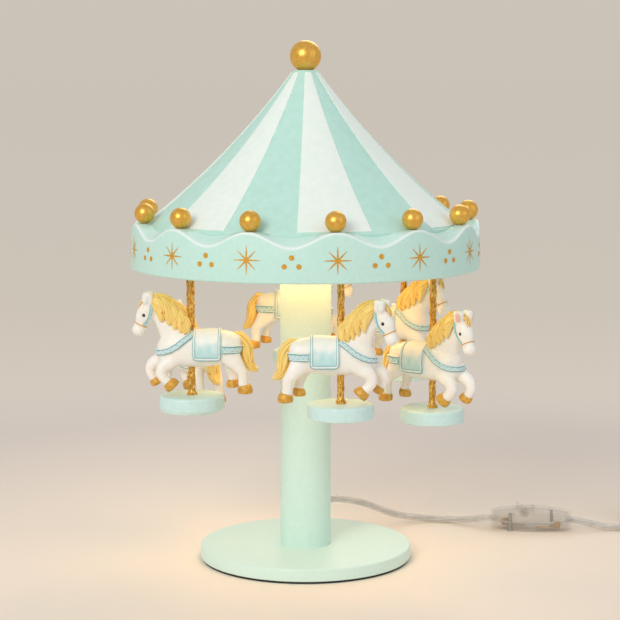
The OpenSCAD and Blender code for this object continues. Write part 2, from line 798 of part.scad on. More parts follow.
shell_screw_x = switch_l / 2 - 14.5;
shell_screw_y = 7;
shell_screw_d = 2.5;
shell_boss_d = shell_screw_d + 2.6;
shell_head_d = shell_screw_d + 2;
shell_roof_t = 0.8;
module at_shell_screws()
  for (side = [-1, 1])
    translate([side * shell_screw_x, side * shell_screw_y, 0])
      children();

module switch_lower_shell()
  color("aliceblue")
    at_switch()
      difference() {
        union() {
          difference() {
            linear_extrude(split_z)
              polygon(switch_outline(0));
            translate([0, 0, switch_wall])
              linear_extrude(switch_h)
                polygon(switch_outline(switch_wall));
          }
          at_shell_screws()
            cylinder(d = shell_boss_d, h = split_z);
        }
        at_shell_screws()
          translate([0, 0, -1])
            cylinder(d = shell_screw_d + 2 * fit, h = switch_h);
        at_shell_screws()
          translate([0, 0, -1])
            cylinder(d = shell_head_d + 0.2, h = 1 + shell_head_h);
      }

shell_head_h = 1.4;
slot_l = rocker_l + 2 * rocker_gap;
slot_w = rocker_w + 2 * rocker_gap;
ear_l = 6;
ear_t = 1.6;
ear_h = 5;
module switch_upper_shell()
  color("aliceblue")
    at_switch()
      difference() {
        union() {
          difference() {
            translate([0, 0, split_z])
              linear_extrude(switch_h - split_z)
                polygon(switch_outline(0));
            translate([0, 0, split_z - 1])
              linear_extrude(switch_h - split_z + 1 - switch_wall)
                polygon(switch_outline(switch_wall));
          }
          at_shell_screws()
            translate([0, 0, split_z])
              cylinder(d = shell_boss_d, h = switch_h - split_z - eps);
          translate([rocker_x - ear_l / 2, -slot_w / 2 - ear_t, switch_h - ear_h])
            cube([ear_l, slot_w + 2 * ear_t, ear_h - eps]);
        }
        translate([rocker_x - slot_l / 2, -slot_w / 2, split_z - 1])
          cube([slot_l, slot_w, switch_h]);
        translate([rocker_x, 0, pivot_z])
          rotate([90, 0, 0])
            cylinder(d = pin_d + 2 * fit, h = slot_w + 2 * ear_t + 1, center = true);
        at_shell_screws()
          translate([0, 0, split_z - 1])
            cylinder(d = shell_screw_d + 2 * fit, h = switch_h - split_z - shell_roof_t);
      }

// Rocker: two sloping faces over a round belly, on a cross pin
rocker_proud = 2.6;
rocker_belly_r = 3.6;
module switch_rocker()
  color("white")
    at_switch()
      translate([rocker_x, 0, pivot_z])
        rotate([90, 0, 0])
          rotate([0, 0, -rocker_tilt])
          difference() {
            linear_extrude(rocker_w, center = true)
              polygon(concat(
                [[-rocker_l / 2, switch_h - pivot_z - 1.2],
                 [-rocker_l / 2, switch_h - pivot_z + rocker_proud],
                 [-rocker_l / 2 + 1, switch_h - pivot_z + rocker_proud + 0.3],
                 [0, switch_h - pivot_z + 0.6],
                 [rocker_l / 2 - 1, switch_h - pivot_z + rocker_proud + 0.3],
                 [rocker_l / 2, switch_h - pivot_z + rocker_proud], [rocker_l / 2, switch_h - pivot_z - 1.2]],
                [for (a = [-20 : -28 : -160]) rocker_belly_r * [cos(a), sin(a)]]));
            cylinder(d = pin_d + 2 * fit, h = 2 * rocker_w, center = true);
          }

module rocker_pin()
  color("silver")
    at_switch()
      translate([rocker_x, 0, pivot_z])
        rotate([90, 0, 0])
          cylinder(d = pin_d, h = slot_w + 2 * ear_t, center = true);

// Two brass strips that the cord's cores are clamped to, each with its terminal block
strip = [18, 4, 0.8];
terminal = [5, 5, 4.2];
strip_at = [13, 4];
module switch_contacts()
  color("gold")
    at_switch()
      for (side = [-1, 1])
        translate([side * strip_at.x, -side * strip_at.y, switch_wall + seat]) {
          translate([-strip.x / 2, -strip.y / 2, 0])
            cube(strip);
          translate([side * (strip.x - terminal.x) / 2 - terminal.x / 2, -terminal.y / 2, strip.z - eps])
            cube(terminal);
        }

module switch_screws()
  color("silver")
    at_switch()
      at_shell_screws() {
        cylinder(d = shell_head_d, h = shell_head_h - 0.2);
        cylinder(d = shell_screw_d, h = switch_h - 3 * shell_roof_t);
      }

// Sweep of a round section along chosen points
tube_sides = 10;
function side_of(d) = let (s = cross(d, [0, 0, 1])) s / norm(s);
function heading(p, i) =
  let (a = p[max(i - 1, 0)], b = p[min(i + 1, len(p) - 1)]) (b - a) / norm(b - a);
function tube_ring(p, i, r) =
  let (d = heading(p, i), s = side_of(d), u = cross(s, d))
    [for (k = [0 : tube_sides - 1])
      p[i] + r * cos(k * 360 / tube_sides) * s + r * sin(k * 360 / tube_sides) * u];
module tube(p, r) {
  m = len(p);
  polyhedron(
    points = [for (i = [0 : m - 1]) each tube_ring(p, i, r)],
    faces = concat(
      [[for (k = [tube_sides - 1 : -1 : 0]) k]],
      [[for (k = [0 : tube_sides - 1]) (m - 1) * tube_sides + k]],
      [for (i = [0 : m - 2]) for (k = [0 : tube_sides - 1])
        let (k2 = (k + 1) % tube_sides)
          each [[i * tube_sides + k, i * tube_sides + k2, (i + 1) * tube_sides + k2],
            [i * tube_sides + k, (i + 1) * tube_sides + k2, (i + 1) * tube_sides + k]]]));
}

// From the grommet over the edge of the base, down to the table and into the switch
LEAD_ROUTE = [[0, 40.4, 26], [5, 52, 27], [14, 60, 27.5], [25, 66, 26.5], [37, 72, 23.5], [48, 79, 19],
  [58, 86, 13.5], [68, 93, 8.5], [79, 99, 5], [91, 102, 3.2], [104, 101, 2.8], [116, 96, 3.4],
  [127, 89.5, 5.2], [135, 84.6, 7.4], [141, 83.3, 8]];
// From the switch to the coil
TAIL_ROUTE = [[202, 76.8, 7.9], [211, 75.6, 6.4], [222, 75, 4], [234, 75, 2.9], [247, 75.2, 2.8],
  [258, 75.3, 2.8], [266, 75.3, 2.8]];
// From the coil down to the plug
END_ROUTE = [[305.2, 75.2, 16.1], [312, 74, 12.4], [319.5, 70.8, 8.2], [325, 65, 5.6], [328, 57, 4.8],
  [329, 49.4, 5.8], [329, 41.5, 6.6]];
COIL_AT = [286, 110];

module cord_lead()
  color("lightgray")
    tube(LEAD_ROUTE, cord_d / 2);

module cord_tail()
  color("lightgray")
    tube(TAIL_ROUTE, cord_d / 2);

module cord_end()
  color("lightgray")
    tube(END_ROUTE, cord_d / 2);

// Outer shape of the wound cord: two turns side by side in each layer
module cord_coil()
  color("lightgray")
    translate([COIL_AT.x, COIL_AT.y, 0])
      ring(coil_mean_d / 2 - cord_d, coil_mean_d / 2 + cord_d, 0, coil_layers * cord_d);

plug_at = [329, 41];
plug_l = 42;
plug_neck_l = 21;
plug_w = 25;
plug_t = 13.2;
plug_neck_d = 8;
pin_blade = [1.5, 17.5, 6.3];
pin_pitch = 12.7;
// Moulded plug lying flat: body, waist and flared grip, with a tapered relief for the cord
module plug_body()
  color("aliceblue")
    translate([plug_at.x, plug_at.y, plug_t / 2])
      rotate([90, 0, 0])
        difference() {
          union() {
            cylinder(d1 = plug_neck_d, d2 = plug_neck_d + 3.4, h = plug_neck_l + eps);
            translate([-plug_w / 2, -plug_t / 2, plug_neck_l])
              cube([plug_w, plug_t, plug_l - plug_neck_l]);
          }
          for (side = [-1, 1])
            translate([side * (plug_w / 2 + 5), 0, plug_neck_l + 7])
              rotate([90, 0, 0])
                cylinder(r = 7, h = 2 * plug_t, center = true);
        }

module plug_pins()
  color("silver")
    for (side = [-1, 1])
      translate([plug_at.x + side * pin_pitch / 2 - pin_blade.x / 2, plug_at.y - plug_l - pin_blade.y,
        plug_t / 2 - pin_blade.z / 2])
        cube(pin_blade);

// ---------------------------------------------------------------- nodes

foot_pad();
base_plate();
post_tube();
post_foot_plug();
base_bolt();
base_washer();
cord_grommet();
driver_board();
lamp_tray();
gearmotor();
motor_screws();
shaft_bearing();
thrust_washer();
led_board();
led_chips();
diffuser();
drive_shaft();
hub();
hub_screws();
carrier_plate();
cornice();
roof_shell();
roof_gores();
finial();
finial_nut();
rim_balls();
pole_ferrules();
pole_nuts();
for (i = [0 : poles - 1]) {
  pole(i);
  horse(i);
  horse_disc(i);
}
disc_screws();
switch_lower_shell();
switch_upper_shell();
switch_rocker();
rocker_pin();
switch_contacts();
switch_screws();
cord_lead();
cord_tail();
cord_coil();
cord_end();
plug_body();
plug_pins();
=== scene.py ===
import math

import bmesh
import bpy
import numpy as np
from mathutils import Matrix, Vector
from mathutils.bvhtree import BVHTree


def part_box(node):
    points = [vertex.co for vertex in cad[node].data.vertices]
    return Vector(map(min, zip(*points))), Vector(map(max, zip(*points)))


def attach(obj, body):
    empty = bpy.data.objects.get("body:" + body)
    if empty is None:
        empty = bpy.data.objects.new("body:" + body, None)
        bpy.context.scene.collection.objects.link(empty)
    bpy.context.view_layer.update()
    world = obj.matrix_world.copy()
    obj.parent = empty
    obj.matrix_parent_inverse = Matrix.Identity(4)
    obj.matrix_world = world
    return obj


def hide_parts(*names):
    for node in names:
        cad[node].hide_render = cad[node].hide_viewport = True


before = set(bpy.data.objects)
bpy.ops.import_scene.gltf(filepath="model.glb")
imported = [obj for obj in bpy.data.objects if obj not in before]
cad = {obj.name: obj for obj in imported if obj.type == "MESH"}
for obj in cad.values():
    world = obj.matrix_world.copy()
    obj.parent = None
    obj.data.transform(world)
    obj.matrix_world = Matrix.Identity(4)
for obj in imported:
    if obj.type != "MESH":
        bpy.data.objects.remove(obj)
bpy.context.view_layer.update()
scene = bpy.context.scene
scene.view_settings.view_transform = "Standard"

# ------------------------------------------------------------------ studio
# A table-top set: a pale matt floor, painted warmer and brighter near the lamp as a painted pool of light,
# that fades into a plain backdrop, one large soft lamp high on the left, a weaker one on the right and an even
# room light.  The camera stands 1.2 m in front of the lamp, a little above it, with a long lens.
MM = 0.001


def linear(code):
    """An sRGB hex colour as linear red, green, blue and alpha."""
    parts = [int(code[k:k + 2], 16) / 255 for k in (1, 3, 5)]
    return [c / 12.92 if c <= 0.04045 else ((c + 0.055) / 1.055) ** 2.4 for c in parts] + [1.0]


def add_node(tree, kind, settings=None, sockets=None):
    """Adds a node; settings are its properties, sockets its inputs: a value, or an output to link."""
    made = tree.nodes.new(kind)
    for name, value in (settings or {}).items():
        setattr(made, name, value)
    for key, value in (sockets or {}).items():
        if isinstance(value, bpy.types.NodeSocket):
            tree.links.new(value, made.inputs[key])
        else:
            made.inputs[key].default_value = value
    return made


def colour_steps(tree, value, steps):
    """A colour ramp over value with (place, hex colour) steps."""
    ramp = add_node(tree, "ShaderNodeValToRGB", sockets={"Fac": value})
    points = ramp.color_ramp.elements
    while len(points) < len(steps):
        points.new(0.5)
    for point, (place, code) in zip(points, steps):
        point.position = place
        point.color = linear(code)
    return ramp.outputs["Color"]


camera = bpy.data.objects.new("camera", bpy.data.cameras.new("camera"))
camera.location = (0.0031, -1.2323, 0.3270)
camera.rotation_euler = (math.radians(90 - 6.91), 0, 0)
camera.data.lens = 102.2
camera.data.sensor_width = 36
scene.collection.objects.link(camera)
scene.camera = camera

floor_r = 1.6
floor_fade_start = 0.34
floor_fade_end = 0.95
floor_mesh = bpy.data.meshes.new("floor")
floor_rim = [(floor_r * math.cos(a), floor_r * math.sin(a), 0) for a in np.linspace(0, 2 * math.pi, 96, False)]
floor_mesh.from_pydata(floor_rim, [], [tuple(range(len(floor_rim)))])
floor = bpy.data.objects.new("floor", floor_mesh)
scene.collection.objects.link(floor)

floor_paper = bpy.data.materials.new("studio paper")
floor_paper.use_nodes = True
tree = floor_paper.node_tree
tree.nodes.clear()
place = add_node(tree, "ShaderNodeTexCoord")
away = add_node(tree, "ShaderNodeVectorMath", {"operation": "LENGTH"}, {0: place.outputs["Object"]})
fade = add_node(tree, "ShaderNodeMapRange", {"interpolation_type": "SMOOTHERSTEP"},
                {"Value": away.outputs["Value"], "From Min": floor_fade_start, "From Max": floor_fade_end})
# Painted pool of light: the floor is warmest and brightest near the lamp and turns greyer outwards to the
# backdrop's colour
tone = colour_steps(tree, add_node(tree, "ShaderNodeMapRange", None, {
    "Value": away.outputs["Value"], "From Min": 0.05, "From Max": 0.55}).outputs["Result"],
    [(0.0, "#FFF0DC"), (0.45, "#F2E4D2"), (1.0, "#DDD2C6")])
paper = add_node(tree, "ShaderNodeBsdfDiffuse", None, {"Color": tone})
gone = add_node(tree, "ShaderNodeBsdfTransparent")
mixed = add_node(tree, "ShaderNodeMixShader", None,
                 {0: fade.outputs["Result"], 1: paper.outputs[0], 2: gone.outputs[0]})
add_node(tree, "ShaderNodeOutputMaterial", None, {"Surface": mixed.outputs[0]})
floor_mesh.materials.append(floor_paper)

world = bpy.data.worlds.new("studio")
scene.world = world
world.use_nodes = True
tree = world.node_tree
tree.nodes.clear()
way = add_node(tree, "ShaderNodeTexCoord")
height = add_node(tree, "ShaderNodeSeparateXYZ", None, {0: way.outputs["Generated"]})
backdrop = colour_steps(tree, add_node(tree, "ShaderNodeMapRange", None, {
    "Value": height.outputs["Z"], "From Min": -0.22, "From Max": 0.08}).outputs["Result"],
    [(0.0, "#DBD0C4"), (0.35, "#CDC4B8"), (0.7, "#CAC2B7"), (1.0, "#CCC4B9")])
seen = add_node(tree, "ShaderNodeLightPath")
either = add_node(tree, "ShaderNodeMath", {"operation": "MAXIMUM"},
                  {0: seen.outputs["Is Camera Ray"], 1: seen.outputs["Is Glossy Ray"]})
shown = add_node(tree, "ShaderNodeMath", {"operation": "MAXIMUM"},
                 {0: either.outputs[0], 1: seen.outputs["Is Transmission Ray"]})
room = add_node(tree, "ShaderNodeBackground", None, {"Color": linear("#F4F6FF"), "Strength": 0.62})
view = add_node(tree, "ShaderNodeBackground", None, {"Color": backdrop, "Strength": 1.0})
both = add_node(tree, "ShaderNodeMixShader", None,
                {0: shown.outputs[0], 1: room.outputs[0], 2: view.outputs[0]})
add_node(tree, "ShaderNodeOutputWorld", None, {"Surface": both.outputs[0]})

# Each lamp: name, place, size in metres, power in watts, colour
for lamp, at, size, power, code in [("key", (-0.9, -1.7, 1.15), 1.0, 19, "#FFFBF4"),
                                    ("fill", (1.5, -0.9, 0.9), 1.2, 2.6, "#F2F5FF"),
                                    ("back", (0.3, 1.5, 1.2), 1.0, 7, "#FFF8EE")]:
    light = bpy.data.lights.new(lamp, "AREA")
    light.size = size
    light.energy = power
    light.color = linear(code)[:3]
    made = bpy.data.objects.new(lamp, light)
    made.location = at
    made.rotation_euler = (Vector((0, 0, 0.16)) - Vector(at)).to_track_quat("-Z", "Y").to_euler()
    scene.collection.objects.link(made)

# ------------------------------------------------------------------ cord
# A clear PVC flex, 5.4 mm thick, over two silvery twisted cores.  It leaves the back of the post,
# falls over the edge of the base to the table, passes through the switch and is stored in a
# neat coil of seven turns, two beside each other in each layer, with the plug beside it.
cord_d = 5.4
core_r, core_offset, core_lay = 0.98, 1.12, 62
LEAD_ROUTE = [[0, 22, 26], [0, 31, 26], [0, 40.4, 26], [5, 52, 27], [14, 60, 27.5], [25, 66, 26.5],
              [37, 72, 23.5], [48, 79, 19], [58, 86, 13.5], [68, 93, 8.5], [79, 99, 5], [91, 102, 3.2],
              [104, 101, 2.8], [116, 96, 3.4], [127, 89.5, 5.2], [135, 84.6, 7.4], [141, 83.3, 8],
              [146, 82.8, 8]]
TAIL_ROUTE = [[197, 77.3, 8], [202, 76.8, 7.9], [211, 75.6, 6.4], [222, 75, 4], [234, 75, 2.9],
              [247, 75.2, 2.8], [258, 75.3, 2.8], [266, 75.3, 2.8]]
END_ROUTE = [[297, 75.3, 18.4], [305.2, 75.2, 16.1], [312, 74, 12.4], [319.5, 70.8, 8.2], [325, 65, 5.6],
             [328, 57, 4.8], [329, 49.4, 5.8], [329, 41.5, 6.6], [329, 36, 6.6]]
coil_outer_r = 34.7
coil_centre = (286, 75.3 + coil_outer_r)


def coil_track(k):
    """Radius and height of the k-th turn: out, in, in, out, and so on, up through the layers."""
    layer, second = divmod(k, 2)
    inside = (layer + second) % 2
    return np.array([coil_outer_r - inside * cord_d, cord_d * (layer + 0.5)])


def coil_line(turns=7, per_turn=20, change=50, leave=600, lag=315):
    """Points of the winding.  Each turn moves to the next track just before it meets its own start."""
    points = []
    for cum in np.linspace(270, 270 + 360 * turns, turns * per_turn + 1):
        track = coil_track(0)
        for k in range(turns):
            t = min(1, max(0, (cum - (leave + k * lag - change)) / change))
            track = track + (coil_track(k + 1) - coil_track(k)) * t * t * (3 - 2 * t)
        a = math.radians(cum)
        points.append([coil_centre[0] + track[0] * math.cos(a),
                       coil_centre[1] + track[0] * math.sin(a), track[1]])
    return points


def smooth_line(points, step):
    """A Catmull-Rom line through the points, with a point about every step."""
    p = np.array(points, float)
    p = np.vstack([2 * p[0] - p[1], p, 2 * p[-1] - p[-2]])
    line = []
    for a, b, c, d in zip(p[:-3], p[1:-2], p[2:-1], p[3:]):
        n = max(1, round(float(np.linalg.norm((c - b)[:3])) / step))
        for t in np.arange(n) / n:
            line.append(0.5 * (2 * b + (c - a) * t + (2 * a - 5 * b + 4 * c - d) * t * t
                               + (3 * b - a - 3 * c + d) * t ** 3))
    line.append(p[-2])
    return np.array(line)


def curve_piece(name, line, radius):
    """A round tube as a curve with one open spline along the line, in millimetres."""
    data = bpy.data.curves.new(name, "CURVE")
    data.dimensions = "3D"
    data.bevel_depth = radius * MM
    data.bevel_resolution = 5
    data.use_fill_caps = True
    spline = data.splines.new("POLY")
    spline.points.add(len(line) - 1)
    spline.points.foreach_set("co", np.hstack([line * MM, np.ones((len(line), 1))]).ravel())
    spline.use_smooth = True
    made = bpy.data.objects.new(name, data)
    scene.collection.objects.link(made)
    return made


def plain_mesh(obj):
    """The evaluated object as a plain mesh on the same object, with its modifiers removed."""
    bpy.context.view_layer.update()
    data = bpy.data.meshes.new_from_object(obj.evaluated_get(bpy.context.evaluated_depsgraph_get()))
    if obj.type != "MESH":
        made = bpy.data.objects.new(obj.name + "_mesh", data)
        scene.collection.objects.link(made)
        name = obj.name
        bpy.data.objects.remove(obj)
        made.name = name
        return made
    obj.modifiers.clear()
    obj.data = data
    return obj


def new_material(name, **sockets):
    """A material with a Principled shader; returns the material, its tree and the shader."""
    material = bpy.data.materials.new(name)
    material.use_nodes = True
    shader = material.node_tree.nodes["Principled BSDF"]
    for key, value in sockets.items():
        shader.inputs[key.replace("_", " ")].default_value = value
    return material, material.node_tree, shader


def grain(tree, size_mm, detail=3, stretch=(1, 1, 1)):
    """Noise in object space with features of about size_mm; stretch makes it longer along an axis."""
    at = add_node(tree, "ShaderNodeTexCoord")
    spread = add_node(tree, "ShaderNodeMapping", None, {"Vector": at.outputs["Object"],
                      "Scale": [1 / (size_mm * MM * s) for s in stretch]})
    return add_node(tree, "ShaderNodeTexNoise", None,
                    {"Vector": spread.outputs[0], "Scale": 1.0, "Detail": detail}).outputs["Fac"]


def rough_and_bumpy(tree, shader, value, low, high, bump_mm, strength=1.0):
    """Lets a noise value vary the roughness and raise the surface by up to bump_mm."""
    rough = add_node(tree, "ShaderNodeMapRange", None, {"Value": value, "To Min": low, "To Max": high})
    tree.links.new(rough.outputs["Result"], shader.inputs["Roughness"])
    bump = add_node(tree, "ShaderNodeBump", None,
                    {"Height": value, "Distance": bump_mm * MM, "Strength": strength})
    tree.links.new(bump.outputs["Normal"], shader.inputs["Normal"])


def finish(name, low, high, rough, size_mm, bump_mm, stretch=(1, 1, 1), detail=3, **sockets):
    """A material whose colour, roughness and relief vary a little with one noise."""
    material, tree, shader = new_material(name, **sockets)
    value = grain(tree, size_mm, detail, stretch)
    tree.links.new(colour_steps(tree, value, [(0.3, low), (0.7, high)]), shader.inputs["Base Color"])
    rough_and_bumpy(tree, shader, value, rough[0], rough[1], bump_mm)
    return material


# Clear PVC: a thin bright skin with a gloss, through which the cores show
clear_pvc = finish("extruded clear PVC", "#D9D5CC", "#EDEAE4", (0.08, 0.2), 6, 0.04, IOR=1.5, Alpha=0.36)
# Cores in milky inner sleeves over tinned strands: silvery and bright, with fine grey lines
tinned_core = finish("tinned strands in a milky sleeve", "#BDBAB4", "#F1EFEB", (0.25, 0.5), 0.8, 0.1,
                     detail=2, Metallic=0.35)


def twisted_cores(name, line):
    """Both cores of one stretch of cord, wound round each other inside the sheath."""
    d = np.gradient(line, axis=0)
    d /= np.linalg.norm(d, axis=1)[:, None]
    side = np.cross(d, [0, 0, 1])
    side /= np.linalg.norm(side, axis=1)[:, None]
    up = np.cross(side, d)
    run = np.concatenate([[0], np.cumsum(np.linalg.norm(np.diff(line, axis=0), axis=1))])
    a = (run / core_lay * 2 * math.pi)[:, None]
    parts = []
    for sign in (1, -1):
        core = line + sign * core_offset * (np.cos(a) * side + np.sin(a) * up)
        parts.append(plain_mesh(curve_piece(name + "_core", core, core_r)))
    return joined(name, parts)


def joined(name, parts):
    """The parts as one mesh object with their materials kept."""
    for part in parts:
        part.select_set(True)
    bpy.context.view_layer.objects.active = parts[0]
    if len(parts) > 1:
        with bpy.context.temp_override(active_object=parts[0], selected_objects=parts,
                                       selected_editable_objects=parts):
            bpy.ops.object.join()
    parts[0].name = name
    parts[0].data.name = name
    parts[0].select_set(False)
    return parts[0]


def paint(obj, material):
    """One material for the whole piece."""
    obj.data.materials.clear()
    obj.data.materials.append(material)
    return obj


cord_step = 2.5
lead_line = smooth_line(LEAD_ROUTE, cord_step)
tail_line = smooth_line(TAIL_ROUTE + coil_line() + END_ROUTE, cord_step)
lead = paint(curve_piece("lead", lead_line, cord_d / 2), clear_pvc)
tail = paint(curve_piece("tail", tail_line, cord_d / 2), clear_pvc)
lead_cores = paint(twisted_cores("lead_cores", lead_line), tinned_core)
tail_cores = paint(twisted_cores("tail_cores", tail_line), tinned_core)
for made in (lead, tail, lead_cores, tail_cores):
    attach(made, "stand")
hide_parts("cord_lead")
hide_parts("cord_tail", "cord_coil", "cord_end")


# ------------------------------------------------------------------ stand
# A steel plate, powder coated in mint, on a dark rubber pad, and a mint steel tube bolted to it
# through a turned foot plug.  The cord leaves the tube through a soft bush at the back.


def tube_faces(rings, around, start=0):
    """Faces of a closed skin over rings of points that follow each other."""
    faces = [(start + i * around + k, start + (i + 1) * around + k,
              start + (i + 1) * around + (k + 1) % around, start + i * around + (k + 1) % around)
             for i in range(rings - 1) for k in range(around)]
    return faces + [tuple(start + k for k in range(around)),
                    tuple(start + (rings - 1) * around + k for k in reversed(range(around)))]


class Shape:
    """Vertices in millimetres and faces, gathered piece by piece."""

    def __init__(self):
        self.verts, self.faces = [], []

    def add(self, rings, around):
        """A closed skin over rings of points."""
        self.faces += tube_faces(len(rings), around, len(self.verts))
        self.verts += [tuple(p) for ring in rings for p in ring]
        return self

    def loft(self, sections, around=28, step=1.0, power=1.0):
        """A smooth body through oval sections; a power under 1 makes them squarer."""
        turn = np.linspace(0, 2 * math.pi, around, False)
        return self.add([ring_points(row, turn, power) for row in smooth_line(sections, step)], around)

    def rod(self, line, radius, around=8, flat=1.0, normals=None):
        """A round or flattened rod along a line; radius is a number or one value per point."""
        line = np.array(line, float)
        d = np.gradient(line, axis=0)
        d /= np.maximum(np.linalg.norm(d, axis=1), 1e-9)[:, None]
        up = np.tile([0.0, 0.0, 1.0], (len(line), 1)) if normals is None else np.array(normals, float)
        side = np.cross(d, up)
        weak = np.linalg.norm(side, axis=1) < 0.05
        side[weak] = np.cross(d[weak], [1.0, 0.0, 0.0])
        side /= np.linalg.norm(side, axis=1)[:, None]
        up = np.cross(side, d)
        turn = np.linspace(0, 2 * math.pi, around, False)[:, None]
        size = np.broadcast_to(radius, len(line))
        return self.add([p + r * (np.cos(turn) * s + flat * np.sin(turn) * u)
                         for p, r, s, u in zip(line, size, side, up)], around)

    def ball(self, at, radii, turn=Matrix.Identity(3), around=20):
        """An ellipsoid with its own turn."""
        rings = []
        for lat in np.linspace(-math.pi / 2 + 0.05, math.pi / 2 - 0.05, around // 2):
            ring = [(math.cos(lat) * math.cos(a) * radii[0], math.cos(lat) * math.sin(a) * radii[1],
                     math.sin(lat) * radii[2]) for a in np.linspace(0, 2 * math.pi, around, False)]
            rings.append([np.array(turn @ Vector(p)) + np.array(at) for p in ring])
        return self.add(rings, around)

    def both_sides(self, side, build):
        """Runs a builder and mirrors what it adds to the other side when side is negative."""
        first, first_face = len(self.verts), len(self.faces)
        build()
        if side < 0:
            self.verts[first:] = [(x, -y, z) for x, y, z in self.verts[first:]]
            self.faces[first_face:] = [tuple(reversed(f)) for f in self.faces[first_face:]]

    def piece(self, name):
        """The gathered faces as a mesh object."""
        mesh = bpy.data.meshes.new(name)
        mesh.from_pydata([(x * MM, y * MM, z * MM) for x, y, z in self.verts], [], self.faces)
        mesh.shade_smooth()
        made = bpy.data.objects.new(name, mesh)
        scene.collection.objects.link(made)
        return made


def lathe(name, profile, at=(0, 0), steps=180, first=0.0, last=360.0):
    """A closed profile of (radius, height) points turned about a vertical axis, all round or part way."""
    shape = Shape()
    whole = last - first >= 360
    angles = np.radians(np.linspace(first, last, steps, endpoint=not whole))
    count = len(profile)
    for a in angles:
        shape.verts += [(at[0] + r * math.cos(a), at[1] + r * math.sin(a), z) for r, z in profile]
    for k in range(len(angles) - (0 if whole else 1)):
        a, b = k * count, (k + 1) % len(angles) * count
        shape.faces += [(a + j, b + j, b + (j + 1) % count, a + (j + 1) % count) for j in range(count)]
    if not whole:
        shape.faces += [tuple(reversed(range(count))), tuple(range((steps - 1) * count, steps * count))]
    return tidy_normals(shape.piece(name))


def tidy_normals(obj, sharp=38):
    """Merges doubles, points the faces outwards and keeps edges crisp that are sharper than the angle."""
    work = bmesh.new()
    work.from_mesh(obj.data)
    bmesh.ops.remove_doubles(work, verts=work.verts, dist=0.002 * MM)
    bmesh.ops.recalc_face_normals(work, faces=work.faces)
    work.to_mesh(obj.data)
    work.free()
    obj.data.shade_smooth()
    obj.data.set_sharp_from_angle(angle=math.radians(sharp))
    return obj


def arc(cx, cz, r, start, end, count=7):
    """Points of a round corner about (cx, cz), angles in degrees above the outward direction."""
    return [(cx + r * math.cos(a), cz + r * math.sin(a)) for a in np.radians(np.linspace(start, end, count))]


def rounded(node, width, limit=30, name=None):
    """A copy of a CAD piece with softly rounded edges, which takes its place."""
    made = bpy.data.objects.new(name or node + "_rounded", cad[node].data.copy())
    scene.collection.objects.link(made)
    work = bmesh.new()
    work.from_mesh(made.data)
    bmesh.ops.remove_doubles(work, verts=work.verts, dist=0.005 * MM)
    bmesh.ops.dissolve_limit(work, angle_limit=math.radians(1), verts=work.verts, edges=work.edges)
    work.to_mesh(made.data)
    work.free()
    soft = made.modifiers.new("round", "BEVEL")
    soft.width = width * MM
    soft.segments = 3
    soft.limit_method = "ANGLE"
    soft.angle_limit = math.radians(limit)
    plain_mesh(made)
    return tidy_normals(made)


def settle(made, body, slot, material, *nodes):
    """Paints a finished piece, lets it ride on its body and stand for the CAD nodes."""
    paint(made, material)
    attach(made, body)
    if nodes:
        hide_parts(*nodes)
    return made


def dress(material, *nodes):
    """Gives CAD pieces that show as they are their finish."""
    for node in nodes:
        paint(cad[node], material)


base_low, base_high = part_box("base_plate")
base_r = base_high[0] / MM
base_bottom, base_top = base_low[2] / MM, base_high[2] / MM
edge_r, foot_edge_r = 1.3, 0.7
bolt_hole_r, counterbore_r, counterbore_top = 4.05, 10.1, base_top - 1.8
# Powder coat on steel: satin, with a fine orange peel
mint_coat = finish("mint powder coat", "#D4EFE2", "#DBF4E8", (0.32, 0.44), 1.4, 0.02)
settle(lathe("enamelled_base", [(bolt_hole_r, base_top)]
             + arc(base_r - edge_r, base_top - edge_r, edge_r, 90, 0)
             + arc(base_r - foot_edge_r, base_bottom + foot_edge_r, foot_edge_r, 0, -90)
             + [(counterbore_r, base_bottom), (counterbore_r, counterbore_top),
                (bolt_hole_r, counterbore_top)],
             steps=240), "stand", "mint_enamel", mint_coat, "base_plate")
# Rubber sheet, matt and nearly black
rubber = finish("black rubber sheet", "#242524", "#323331", (0.7, 0.9), 1.2, 0.05)
dress(rubber, "foot_pad")
settle(rounded("post_tube", 0.25), "stand", "mint_enamel", mint_coat, "post_tube")
# Turned and zinc-plated steel: bright, with faint turning marks
zinc = finish("zinc-plated steel", "#9C9FA2", "#C2C4C5", (0.22, 0.42), 1.5, 0.01, (1, 1, 0.3), Metallic=1.0)
dress(zinc, "post_foot_plug", "base_bolt", "base_washer")
# Soft PVC bush, milky
bush_pvc = finish("milky bush PVC", "#E4E7E3", "#F0F2EF", (0.25, 0.4), 3, 0.02,
                  IOR=1.52, Transmission_Weight=0.4)
settle(rounded("cord_grommet", 0.3), "stand", "grommet_pvc", bush_pvc, "cord_grommet")
# Glass-fibre board with green solder resist; its parts take the same lacquer
board_green = finish("green solder resist", "#1F6B46", "#2C8258", (0.3, 0.45), 2, 0.02)
dress(board_green, "driver_board")

# ------------------------------------------------------------------ light and drive
# A white moulded tray plugs the top of the post and carries the gearmotor, the bearing, a ring
# board with light chips and an opal acrylic dish that spreads their warm light downwards.

# Moulded ABS, white and satin
white_abs = finish("white moulded ABS", "#EDEBE4", "#F6F4EE", (0.35, 0.5), 4, 0.02)
dress(white_abs, "lamp_tray", "thrust_washer")
dress(zinc, "gearmotor", "motor_screws", "shaft_bearing", "drive_shaft", "hub_screws")
# Aluminium-core board with white solder resist
board_white = finish("white solder resist", "#E4E2DA", "#F0EEE6", (0.3, 0.45), 2, 0.01)
dress(board_white, "led_board")
# Phosphor over the chips, lit warm
chip_phosphor = finish("lit yellow phosphor", "#F2D488", "#FBE3A4", (0.4, 0.6), 0.8, 0.01,
                       Emission_Color=linear("#FFDDA0"), Emission_Strength=3.0)
dress(chip_phosphor, "led_chips")
